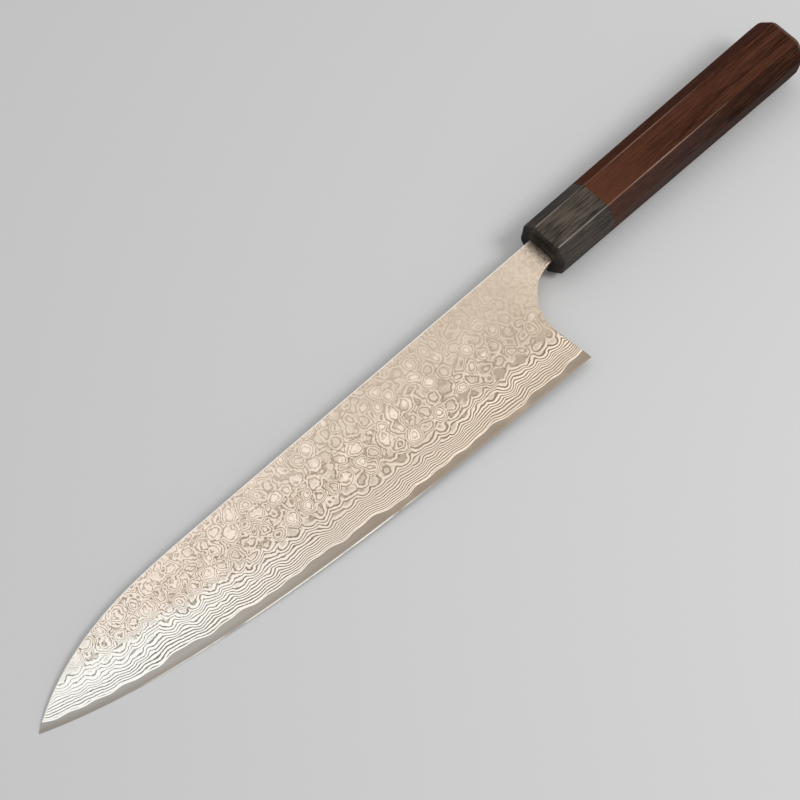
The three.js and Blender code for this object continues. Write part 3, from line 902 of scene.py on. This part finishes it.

# %% [markdown]
# The bore for the dowel is round and the mouth for the tang is a slot. Their rings have as many points
# as the octagon's, so that a band of quads can join any ring to the next. A painted highlight is a
# number on the points: a pale line drawn into the colour along the arrises, where a lamp would glint.
# It is strongest on the arrises of the two broad facets, behind the front of the ferrule and around the
# middle of the grip.

# %% Other rings, and the solid between rings
# Painted highlight along the arrises: its profile across an arris, its share on each of the eight arrises,
# and its strength along the handle.
ARRIS_HIGHLIGHT = 1 - abs(np.linspace(-1, 1, ARC_POINTS))
ARRIS_SHARES = np.array((0.15, 1, 0.7, 0.15, 0.15, 0.7, 1, 0.15))
FERRULE_CHAMFER = 1.25
HIGHLIGHT_STATIONS = (FERRULE_CHAMFER, 2 * FERRULE_CHAMFER, 18.0, 29.0, 40.0, 60.0, 78.0, 105.0)
HIGHLIGHT_ALONG = (0, 1, 0.75, 0.4, 0.45, 0.9, 0.6, 0)


def round_rings(behind, radius):
    """Circles with as many points as an octagon's ring, starting at its first corner."""
    angle = EIGHTH_TURN / 2 + 2 * np.pi * np.arange(RING_POINTS) / RING_POINTS
    circle = np.column_stack((np.cos(angle), np.sin(angle)))
    return set_back(radius[:, None, None] * circle, behind)


def slot_rings(behind, tall, thick):
    """Rectangles with as many points: four of the octagon's corners go to the rectangle's corners
    and four to its long sides."""
    corners = np.column_stack((
        tall / 2 * np.array((1, 0.5, -0.5, -1, -1, -0.5, 0.5, 1)),
        thick / 2 * np.array((1, 1, 1, 1, -1, -1, -1, -1)),
    ))
    arcs = np.broadcast_to(corners[:, None], (len(behind), len(FACETS), ARC_POINTS, 2))
    return set_back(around_facets(arcs), behind)


def ring_solid(name, rings, highlight, closed):
    """Quads between neighbouring rings; a closed row of rings also joins the last to the first.
    The painted highlight, from 0 to 1, is kept on the points."""
    count, points = rings.shape[:2]
    index = np.arange(count * points).reshape(count, points)
    after = np.roll(index, -1, axis=0)
    quads = np.stack((index, after, np.roll(after, -1, axis=1), np.roll(index, -1, axis=1)), axis=-1)
    joined = quads if closed else quads[:-1]
    return mesh_piece(name, rings.reshape(-1, 3), joined.reshape(-1, 4), {"highlight": highlight.ravel()})


def arris_highlight(behind):
    """Painted highlight of the octagon's rings: strongest in the middle of an arris, none on the facets,
    and weighted by the arris and by the place along the handle."""
    around = ARRIS_SHARES[:, None] * np.append(ARRIS_HIGHLIGHT, np.zeros_like(FACET_SHARES))
    return np.interp(behind, HIGHLIGHT_STATIONS, HIGHLIGHT_ALONG)[:, None] * around.ravel()


# The bright lines along the arrises are a painted highlight in the wood's colour, not wear.
print("arrises are worn from", HIGHLIGHT_STATIONS[0], "to", HIGHLIGHT_STATIONS[-1], "mm behind the front")

# %% [markdown]
# The ferrule is a collar: its rings run up the bore for the dowel, through the mouth for the tang,
# over the front face and its chamfer, and back along the outside. The last ring joins the first, so
# the piece is closed like a doughnut. The corners of the profile are softened, because sanded wood
# has no sharp ones, and the tiny bevel at the rear end draws the joint as a fine line.

# %% Ferrule
FERRULE_LENGTH = 29.0
FRONT_WALL = 8.0
BORE_RADIUS = 6.62
MOUTH_TALL, MOUTH_THICK = 13.24, 4.04
JOINT_BEVEL, BESIDE_JOINT = 0.08, 0.32
CHAMFER_EASE, BESIDE_CHAMFER = 0.25, 1.0
EASE_STEPS = 4


def eased_corner(before, corner, after, ease):
    """Curve across a corner, from ease before it to ease after it: start, corner and end weighted by
    (1-t)^2, 2t(1-t) and t^2."""
    before, corner, after = (np.array(point, float) for point in (before, corner, after))
    start = corner + ease * unit(before - corner)
    end = corner + ease * unit(after - corner)
    t = np.linspace(0, 1, EASE_STEPS)[:, None]
    return (1 - t) ** 2 * start + 2 * t * (1 - t) * corner + t**2 * end


face_point = (0, FERRULE_CHAMFER + BESIDE_CHAMFER)
chamfer_front = (0, FERRULE_CHAMFER)
chamfer_back = (FERRULE_CHAMFER, 0)
rear_end = (FERRULE_LENGTH, 0)
ferrule_profile = np.concatenate((
    eased_corner(face_point, chamfer_front, chamfer_back, CHAMFER_EASE),
    eased_corner(chamfer_front, chamfer_back, rear_end, CHAMFER_EASE),
    [(FERRULE_CHAMFER + BESIDE_CHAMFER, 0), (FERRULE_LENGTH / 2, 0)],
    [(FERRULE_LENGTH - BESIDE_JOINT, 0), (FERRULE_LENGTH - JOINT_BEVEL, 0), (FERRULE_LENGTH, JOINT_BEVEL)],
))
bore_ends = np.array((FERRULE_LENGTH, FRONT_WALL))
mouth_ends = np.array((FRONT_WALL, 0.0))
ferrule_inside = np.concatenate((
    round_rings(bore_ends, np.full(2, BORE_RADIUS)), slot_rings(mouth_ends, MOUTH_TALL, MOUTH_THICK),
))
ferrule_rings = np.concatenate((ferrule_inside, octagon_rings(*ferrule_profile.T)))
no_highlight_inside = np.zeros(ferrule_inside.shape[:2])
ferrule_highlight = np.concatenate((no_highlight_inside, arris_highlight(ferrule_profile[:, 0])))
ferrule = ring_solid("ferrule_sanded", ferrule_rings, ferrule_highlight, closed=True)
print("ferrule has", len(ferrule.data.polygons), "faces")

# %% [markdown]
# The handle body starts at the bottom of its blind bore, comes out to the joint and runs along the
# outside to the butt, which is rounded over by a quarter circle. Both ends of this row of rings
# shrink to a point. The rim of the butt gets a faint painted highlight too, in a line around it.

# %% Handle body
BUTT_ROUND = 4.4
BORE_END = 100.24
BUTT_STEPS = 16
BODY_RINGS = 30
PAST_JOINT, BEFORE_ROUND = 1.0, 0.3
RIM_HIGHLIGHT, RIM_AT, RIM_SPREAD = 0.22, np.radians(28), np.radians(20)

first_station = FERRULE_LENGTH + PAST_JOINT
last_station = HANDLE_LENGTH - BUTT_ROUND - BEFORE_ROUND
body_stations = np.linspace(first_station, last_station, BODY_RINGS)
butt_angle = np.linspace(0, np.pi / 2, BUTT_STEPS)
butt_curve = np.column_stack((
    HANDLE_LENGTH - BUTT_ROUND * (1 - np.sin(butt_angle)),
    BUTT_ROUND * (1 - np.cos(butt_angle)),
))
body_profile = np.concatenate((
    [(FERRULE_LENGTH, JOINT_BEVEL), (FERRULE_LENGTH + JOINT_BEVEL, 0), (FERRULE_LENGTH + BESIDE_JOINT, 0)],
    np.column_stack((body_stations, np.zeros_like(body_stations))),
    butt_curve,
))
bore_profile = np.array(((BORE_END, 0), (BORE_END, BORE_RADIUS), (FERRULE_LENGTH, BORE_RADIUS)))
blind_bore = round_rings(*bore_profile.T)
butt_pole = round_rings(np.array((HANDLE_LENGTH,)), np.zeros(1))
# Painted highlight on the rounding of the butt's rim, a faint line around it.
on_butt_rim = np.zeros(len(body_profile))
on_butt_rim[-BUTT_STEPS:] = RIM_HIGHLIGHT * np.clip(1 - abs(butt_angle - RIM_AT) / RIM_SPREAD, 0, 1)
body_highlight = np.concatenate((
    np.zeros(blind_bore.shape[:2]),
    np.maximum(arris_highlight(body_profile[:, 0]), on_butt_rim[:, None]),
    np.zeros(butt_pole.shape[:2]),
))
body_rings = np.concatenate((blind_bore, octagon_rings(*body_profile.T), butt_pole))
handle_body = ring_solid("handle_body_sanded", body_rings, body_highlight, closed=False)
print("handle body has", len(handle_body.data.polygons), "faces")

# %% [markdown]
# Etching darkens one of the two steels and leaves the other bright, so the finish of the cladding is
# a stripe over the layer number: bright near whole numbers, dark between them. The stripe isn't the
# same everywhere. So the first step is a set of masks from 0 to 1 that say where a point lies: among
# the wavy lines, high among the rings, past the plain neck, or among the gleaming lines near the tip.
# A mask is a smooth step over a stretch: millimetres ahead of the ferrule, millimetres above the core
# line, or shares of the way to the tip.

# %% Where a point of the cladding lies
LINES_TOP = (8, 17)
HIGH_FROM, HIGH_LOST_AT_TIP = (18, 38), 0.8
NECK_END, HEEL_END, NECK_SHARE = (8, 24), (20, 70), 0.55
GLEAM_ALONG, GLEAM_TOP = (110, 225), (9, 19)
UPPER_LINES, UPPER_LINES_END = (3, 7), (0.4, 0.7)
HEEL_LINES_END = (50, 100)

layered_steel = Finish("layered_steel", Metallic=1.0)
height, ahead = layered_steel.mark("height"), layered_steel.place("X")
tipwards = ahead.between(HEEL[0], TIP[0])
lines = 1 - height.step(*LINES_TOP)
high = height.step(*HIGH_FROM) * (1 - HIGH_LOST_AT_TIP * tipwards)
onset = NECK_SHARE * ahead.step(*NECK_END) + (1 - NECK_SHARE) * ahead.step(*HEEL_END)
# Where the gleam is, the bright steel is painted whiter further down: painted light, the blade's brighter
# sheen near the tip.
gleam = ahead.step(*GLEAM_ALONG) * (1 - height.step(*GLEAM_TOP))
upper_lines = height.step(*UPPER_LINES) * (1 - tipwards.step(*UPPER_LINES_END))
past_heel = ahead.step(*HEEL_LINES_END)
print("masks take", len(layered_steel.tree.nodes), "nodes")

# %% [markdown]
# The stripe comes from the distance to the nearest whole layer. Among the wavy lines its flanks are
# crisp and among the rings they are soft, so two stripes are made and mixed. A fine crackle shifts the
# layer number, because no outline on forged steel is smooth. A lean widens the bright side of the
# stripe towards the tip.

# %% Stripe of the layers
CRACKLE_SIZE = (0.8, 0.8, 0.8)
CRACKLE = {"heel": 0.4, "tip_gain": 1.2, "lost_in_lines": 0.7}
LEAN = {"rings": 0.1, "upper_lines": 0.14, "near_tip": 0.09, "less": 0.03}
NEAR_TIP = (205, 235)
CRISP_FLANK, SOFT_FLANK = (0.42, 0.8), (0.15, 1.0)
CRISP_RINGS, CRISP_RINGS_FROM = 0.65, (0.1, 0.5)

crackle = layered_steel.grain(CRACKLE_SIZE, detail=2) - 0.5
crackle = crackle * (CRACKLE["heel"] + CRACKLE["tip_gain"] * tipwards)
crackle = crackle * (1 - CRACKLE["lost_in_lines"] * lines)
off_layer = abs((layered_steel.mark("layer") + crackle + 0.5).fraction() - 0.5) * 2
gleam_lean = LEAN["upper_lines"] * height.step(*UPPER_LINES) + LEAN["near_tip"] * ahead.step(*NEAR_TIP)
lean = LEAN["rings"] * tipwards * (1 - lines) + (gleam_lean - LEAN["less"]) * gleam
crisp = 1 - (off_layer - lean).step(*CRISP_FLANK)
soft = 1 - off_layer.step(*SOFT_FLANK)
crisp_rings = CRISP_RINGS * (1 - lines) * tipwards.step(*CRISP_RINGS_FROM) * (1 - high)
stripe = soft + (crisp - soft) * (lines + crisp_rings)
print("stripe takes the nodes to", len(layered_steel.tree.nodes))

# %% [markdown]
# The tone says where a point stands between dark and bright. It starts from a level that rises towards
# the tip and the spine, and it swings with the stripe; the rise towards the tip is painted light, the
# brighter sheen of the blade there. The swing is full along the core line, softer among the rings, and
# weak where the layers lie level and one of them fills a patch. Broad patches and the glowing middles
# of the pits shift it too. The neck has only a mottle, and the cladding's last rim above the core stays
# bright.

# %% Tone of the etch
PATCH_SIZE, MOTTLE_SIZE, MOTTLE_ROUGH = (9, 7, 7), (1.6, 1.6, 1.6), 0.65
RING_SWING = {"heel": 0.72, "tip_gain": 0.4, "patch": 0.7, "lost_high": 0.68}
LINE_SWING = {"full": 1.1, "lost_at_heel": 0.2, "lost_above": 0.35}
STEEP_SHOWS, LEVEL_SWING = (0.15, 0.6), 0.3
GLOW = {"pit": 0.13, "lost_high": 0.08, "tip_gain": 0.09, "rim": 0.2}
PATCH_SHADE, PATCH_LOST_HIGH = 0.25, 0.35
LEVEL = {"neck": 0.49, "lost_at_heel": 0.12, "tip_gain": 0.1, "tip": 0.12, "spine": 0.1, "lines": 0.06}
HEEL_DARKENS, TIP_BRIGHTENS, SPINE_BRIGHTENS, SPINE_DOUBLES = (10, 30), (150, 215), (20, 36), (110, 150)
CORE_RIM = (0.25, 0.55)

pit, steep = layered_steel.mark("pit"), layered_steel.mark("steep")
patch = layered_steel.grain(PATCH_SIZE, detail=1) - 0.5
ring_swing = RING_SWING["heel"] + RING_SWING["tip_gain"] * tipwards + RING_SWING["patch"] * patch
ring_swing = ring_swing * (1 - RING_SWING["lost_high"] * high) * onset
line_swing = LINE_SWING["full"] - LINE_SWING["lost_at_heel"] * (1 - past_heel) * (1 - upper_lines)
line_swing = line_swing - LINE_SWING["lost_above"] * past_heel * upper_lines
swing = ring_swing + (line_swing - ring_swing) * lines
swing = swing * (LEVEL_SWING + (1 - LEVEL_SWING) * steep.step(*STEEP_SHOWS))
glow = GLOW["pit"] - GLOW["lost_high"] * high + GLOW["tip_gain"] * tipwards
glow = glow * (pit * pit * pit * pit - GLOW["rim"])
shade = (glow + PATCH_SHADE * patch * (1 - PATCH_LOST_HIGH * high)) * onset * (1 - lines)
mottle = (layered_steel.grain(MOTTLE_SIZE, detail=4, rough=MOTTLE_ROUGH) - 0.5) * (1 - onset)
# Painted light: the level rises towards the tip, where the blade's sheen is brighter.
level = LEVEL["neck"] - LEVEL["lost_at_heel"] * ahead.step(*HEEL_DARKENS) + LEVEL["tip_gain"] * tipwards
level = level + LEVEL["tip"] * ahead.step(*TIP_BRIGHTENS) + LEVEL["lines"] * upper_lines * lines
level = level + LEVEL["spine"] * height.step(*SPINE_BRIGHTENS) * (1 + ahead.step(*SPINE_DOUBLES))
core_rim = 1 - height.step(*CORE_RIM)
tone = level + swing * (stripe - 0.5) + shade + mottle + core_rim
print("tone takes the nodes to", len(layered_steel.tree.nodes))

# %% [markdown]
# Colours come last. The dark steel is browner among the rings than in the gleam, and the bright steel
# turns from a warm white at the heel to a cool one near the tip, and whiter in the gleam: that is painted
# light, the brighter sheen of the blade towards the tip. The spine gets a painted highlight, a bright
# line along its rim, and small dark specks are left on the neck beside the ferrule. The etch is also a
# shallow relief, and it leaves the dark steel a little rougher.

# %% Colours of the claddings
BRIGHT_HEEL, BRIGHT_TIP, BRIGHT_LINES = srgb(244, 227, 207), srgb(248, 232, 219), srgb(255, 255, 249)
DARK_RINGS, DARK_LINES, DARK_TIP_LINES = srgb(158, 141, 120), srgb(132, 116, 97), srgb(126, 120, 110)
COOL_ALONG, COOL_SHARE = (185, 240), 0.55
SPINE_HIGHLIGHT, SPINE_HIGHLIGHT_SHARE, SPINE_HIGHLIGHT_DEPTH = srgb(255, 250, 242), 0.9, (0.3, 0.75)
SPECK_COLOUR, SPECK_SHARE = srgb(120, 105, 92), 0.6
SPECK_SIZE, SPECK_CUT, SPECK_FADE = (0.5, 0.9, 0.9), (0.5, 0.64), (1, 9)
DARK_ROUGHNESS, BRIGHT_SMOOTHER = 0.46, 0.12
ETCH_DEPTH = 0.004

dark = layered_steel.mix(lines, DARK_RINGS, layered_steel.mix(gleam, DARK_LINES, DARK_TIP_LINES))
# Painted light: the bright steel turns paler and cooler towards the tip, and whiter in the gleam.
bright = layered_steel.mix(tipwards, BRIGHT_HEEL, BRIGHT_TIP)
bright = layered_steel.mix(COOL_SHARE * ahead.step(*COOL_ALONG), bright, BRIGHT_LINES)
bright = layered_steel.mix(gleam, bright, BRIGHT_LINES)
etched = layered_steel.mix(tone, dark, bright)
# Painted highlight: a bright line along the rim of the spine, where its rounded corner would catch the
# light.
at_spine = SPINE_HIGHLIGHT_SHARE - SPINE_HIGHLIGHT_SHARE * layered_steel.mark("below_spine").step(*SPINE_HIGHLIGHT_DEPTH)
with_spine_highlight = layered_steel.mix(at_spine, etched, SPINE_HIGHLIGHT)
on_neck = SPECK_SHARE - SPECK_SHARE * ahead.step(*SPECK_FADE)
specks = layered_steel.grain(SPECK_SIZE, detail=3).step(*SPECK_CUT) * on_neck
layered_steel.paint(
    Base_Color=layered_steel.mix(specks, with_spine_highlight, SPECK_COLOUR),
    Roughness=DARK_ROUGHNESS - BRIGHT_SMOOTHER * stripe,
    Normal=layered_steel.relief(stripe, ETCH_DEPTH),
)
print("layered steel has", len(layered_steel.tree.nodes), "nodes")

# %% [markdown]
# The core is ground, not etched: one plain grey, warmer at the heel, paler towards the tip and darker
# towards the edge. The turn from warm to pale towards the tip is painted light, the brighter sheen of
# the blade there. Faint marks of the stone across the bevel vary its gloss, and along the belly a pale
# line runs on the lip.

# %% Finish of the core
GROUND_HEEL, GROUND_TIP, TIP_TURN = srgb(147, 134, 119), srgb(172, 167, 160), (95, 215)
EDGE_SHADE, EDGE_SHARE, EDGE_WIDTH = srgb(114, 105, 95), 0.35, (0.6, 2.8)
LIP_COLOUR, LIP_WIDTH = srgb(230, 224, 214), (0.2, 0.5)
BELLY_START, BELLY_END = (90, 130), (195, 235)
LIP_LINE_SIZE, LIP_LINE_CUT = (12, 12, 12), (0.3, 0.5)
STONE_MARK_SIZE = (0.5, 5, 5)
GROUND_ROUGHNESS, STONE_ROUGHER = 0.34, 0.12

ground_steel = Finish("ground_steel", Metallic=1.0)
ahead, from_edge = ground_steel.place("X"), ground_steel.mark("from_edge")
in_belly = ahead.step(*BELLY_START) * (1 - ahead.step(*BELLY_END))
at_lip = (1 - from_edge.step(*LIP_WIDTH)) * in_belly
# A pale line along the lip of the belly, broken up by noise.
lightened = at_lip * ground_steel.grain(LIP_LINE_SIZE).step(*LIP_LINE_CUT)
# Painted light: the ground steel turns paler towards the tip, as the blade's sheen does.
ground = ground_steel.mix(ahead.step(*TIP_TURN), GROUND_HEEL, GROUND_TIP)
shaded = EDGE_SHARE - EDGE_SHARE * from_edge.step(*EDGE_WIDTH)
ground = ground_steel.mix(shaded, ground, EDGE_SHADE)
ground_steel.paint(
    Base_Color=ground_steel.mix(lightened, ground, LIP_COLOUR),
    Roughness=GROUND_ROUGHNESS + STONE_ROUGHER * ground_steel.grain(STONE_MARK_SIZE),
)
print("ground steel has", len(ground_steel.tree.nodes), "nodes")

# %% [markdown]
# Wood is drawn by noise that is stretched along the handle: long soft bands for the growth, thin
# streaks for the fibres, pale flecks, and short dark dashes for the open pores. All are read in knife
# axes, so the grain runs through the whole piece and is cut across on its two ends, where it is made
# calmer. Light is painted in as well: the facets towards the spine get painted shade, the facets towards
# the edge a painted greyish reflection that turns to shade towards the butt, the front of the grip is
# painted paler where it is lit, and the arrises carry a painted highlight.

# %% Finishes of the woods
BAND_CUT, FIBRE_CUT, FLECK_CUT, PORE_CUT = (0.35, 0.65), (0.35, 0.7), (0.52, 0.68), (0.62, 0.74)
FRONT_END, BUTT_END, END_CALM = (-1.4, -0.9), (HANDLE_LENGTH - 1, HANDLE_LENGTH), 0.8
SIDE_TURN, SIDE_SHARE = (5.9, 7.3), 0.6
EDGE_TURN, GRIP_FRONT = (-105, -75), (-75, -30)
HIGHLIGHT_SIZE, HIGHLIGHT_CUT, HIGHLIGHT_SHARE = (25, 25, 25), (0.2, 0.5), 0.7
PORE_ROUGHER, PORE_DEPTH = 0.12, 0.03


def wood(name, look, **constants):
    """Wood from three colours, dark to pale: bands and fibres mix them, the front of the grip is painted
    paler as lit, the sides get painted shade and reflection, flecks lie over them, the arrises get a
    painted highlight, and pores darken it."""
    finish = Finish(name, **constants)
    ahead, across = finish.place("X"), finish.place("Y")
    lengthwise = 1 - END_CALM * (ahead.step(*FRONT_END) + (0 - ahead).step(*BUTT_END))
    bands = finish.grain(look["band"]).step(*BAND_CUT)
    fibres = finish.grain(look["fibre"], detail=2).step(*FIBRE_CUT) * look["fibre_share"] * lengthwise
    flecks = finish.grain(look["fleck"], detail=2).step(*FLECK_CUT) * look["fleck_share"] * lengthwise
    pores = finish.grain(look["pore"], detail=1).step(*PORE_CUT) * lengthwise
    # Painted highlight along the arrises, broken up by noise and mixed towards a pale colour.
    lightened = finish.mark("highlight") * finish.grain(HIGHLIGHT_SIZE).step(*HIGHLIGHT_CUT) * HIGHLIGHT_SHARE
    # Painted reflection on the edge side: greyish near the front of the grip, turning to painted shade
    # towards the butt.
    edge_side_light = finish.mix(ahead.step(*EDGE_TURN), look["edge_back_shade"], look["edge_front_reflection"])
    colour = finish.mix(bands, look["dark"], look["middle"])
    colour = finish.mix(fibres, colour, look["pale"])
    # Painted light: the front of the grip is painted paler, as the facet looks where it is lit more.
    colour = finish.mix(ahead.between(*GRIP_FRONT) * look["lit_front_share"], colour, look["pale"])
    # Painted shade on the facets towards the spine, and painted reflection on the facets towards the edge.
    colour = finish.mix((0 - across).step(*SIDE_TURN) * SIDE_SHARE, colour, look["spine_side_shade"])
    colour = finish.mix(across.step(*SIDE_TURN) * SIDE_SHARE, colour, edge_side_light)
    colour = finish.mix(flecks, colour, look["pale"])
    colour = finish.mix(lightened, colour, look["lightened"])
    finish.paint(
        Base_Color=finish.mix(pores * look["pore_share"], colour, look["dark"]),
        Roughness=constants["Roughness"] + PORE_ROUGHER * pores,
        Normal=finish.relief(1 - pores, PORE_DEPTH),
    )
    return finish.material


# In each look, the spine side and edge side colours are painted shade and reflection on the side facets,
# the pale colour for the arris lines is a painted highlight, and the front of the grip is painted paler by
# the share given.
FERRULE_LOOK = {
    "dark": srgb(38, 34, 31), "middle": srgb(70, 63, 56), "pale": srgb(106, 97, 87),
    "spine_side_shade": srgb(48, 47, 50), "edge_front_reflection": srgb(56, 53, 52), "edge_back_shade": srgb(56, 53, 52),
    "lightened": srgb(205, 198, 190), "lit_front_share": 0.0, "band": (18, 5, 5),
    "fibre": (11, 0.7, 0.7), "fibre_share": 0.6,
    "fleck": (12, 0.45, 0.45), "fleck_share": 0.45,
    "pore": (9, 0.3, 0.3), "pore_share": 0.5,
}
ROSEWOOD_LOOK = {
    "dark": srgb(42, 23, 16), "middle": srgb(65, 37, 27), "pale": srgb(100, 62, 45),
    "spine_side_shade": srgb(54, 21, 9), "edge_front_reflection": srgb(48, 42, 44), "edge_back_shade": srgb(25, 20, 17),
    "lightened": srgb(198, 172, 155), "lit_front_share": 0.6, "band": (60, 3.5, 3.5),
    "fibre": (14, 0.45, 0.45), "fibre_share": 0.5,
    "fleck": (9, 0.45, 0.45), "fleck_share": 0.45,
    "pore": (1.6, 0.25, 0.25), "pore_share": 0.6,
}
DOWEL_LOOK = {
    "dark": srgb(176, 145, 100), "middle": srgb(196, 168, 122), "pale": srgb(212, 187, 144),
    "spine_side_shade": srgb(196, 168, 122), "edge_front_reflection": srgb(196, 168, 122), "edge_back_shade": srgb(196, 168, 122),
    "lightened": srgb(212, 187, 144), "lit_front_share": 0.0, "band": (60, 2, 2),
    "fibre": (30, 0.6, 0.6), "fibre_share": 0.6,
    "fleck": (3, 0.4, 0.4), "fleck_share": 0.3,
    "pore": (6, 0.2, 0.2), "pore_share": 0.4,
}
ferrule_wood = wood("ferrule_wood", FERRULE_LOOK, Roughness=0.4, Specular_IOR_Level=0.01)
rosewood = wood("rosewood", ROSEWOOD_LOOK, Roughness=0.4, Specular_IOR_Level=0.01)
dowel_wood = wood("dowel_wood", DOWEL_LOOK, Roughness=0.6)
print("woods:", [material.name for material in (ferrule_wood, rosewood, dowel_wood)])

# %% [markdown]
# The bedding is cured resin, dark and a little uneven where air was caught in it. It shows only as a
# fine line in the ferrule's mouth, so one noise is enough for its colour, gloss and relief.

# %% Finish of the resin
RESIN_DARK, RESIN_PALE = srgb(34, 31, 28), srgb(50, 46, 42)
BUBBLE_SIZE, BUBBLE_DEPTH, BUBBLE_ROUGHER = (0.6, 0.6, 0.6), 0.05, 0.2
RESIN_ROUGHNESS = 0.4

bedding_resin = Finish("bedding_resin", Specular_IOR_Level=0.3)
bubbles = bedding_resin.grain(BUBBLE_SIZE)
bedding_resin.paint(
    Base_Color=bedding_resin.mix(bubbles, RESIN_DARK, RESIN_PALE),
    Roughness=RESIN_ROUGHNESS + BUBBLE_ROUGHER * bubbles,
    Normal=bedding_resin.relief(bubbles, BUBBLE_DEPTH),
)
print("resin has", len(bedding_resin.tree.nodes), "nodes")

# %% [markdown]
# Every new piece rides on the one rigid body and hides the solid that it stands for. The dowel and the
# bedding keep their solids and only change their material.

# %% Dress the frame
DRESSED = (
    (left_cladding, "left_cladding", "cladding", layered_steel.material),
    (right_cladding, "right_cladding", "cladding", layered_steel.material),
    (core_steel, "core_steel", "core_steel", ground_steel.material),
    (ferrule, "ferrule", "ferrule_wood", ferrule_wood),
    (handle_body, "handle_body", "handle_wood", rosewood),
)
KEPT = {"dowel": dowel_wood, "tang_bedding": bedding_resin.material}

for piece, node, slot, material in DRESSED:
    piece.data.materials.append(material)
    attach(piece, "root")
    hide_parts(node)
for node, material in KEPT.items():
    frame["nodes"][node].material_slots[0].material = material
print("dressed", [node for _, node, _, _ in DRESSED], "and refinished", list(KEPT))
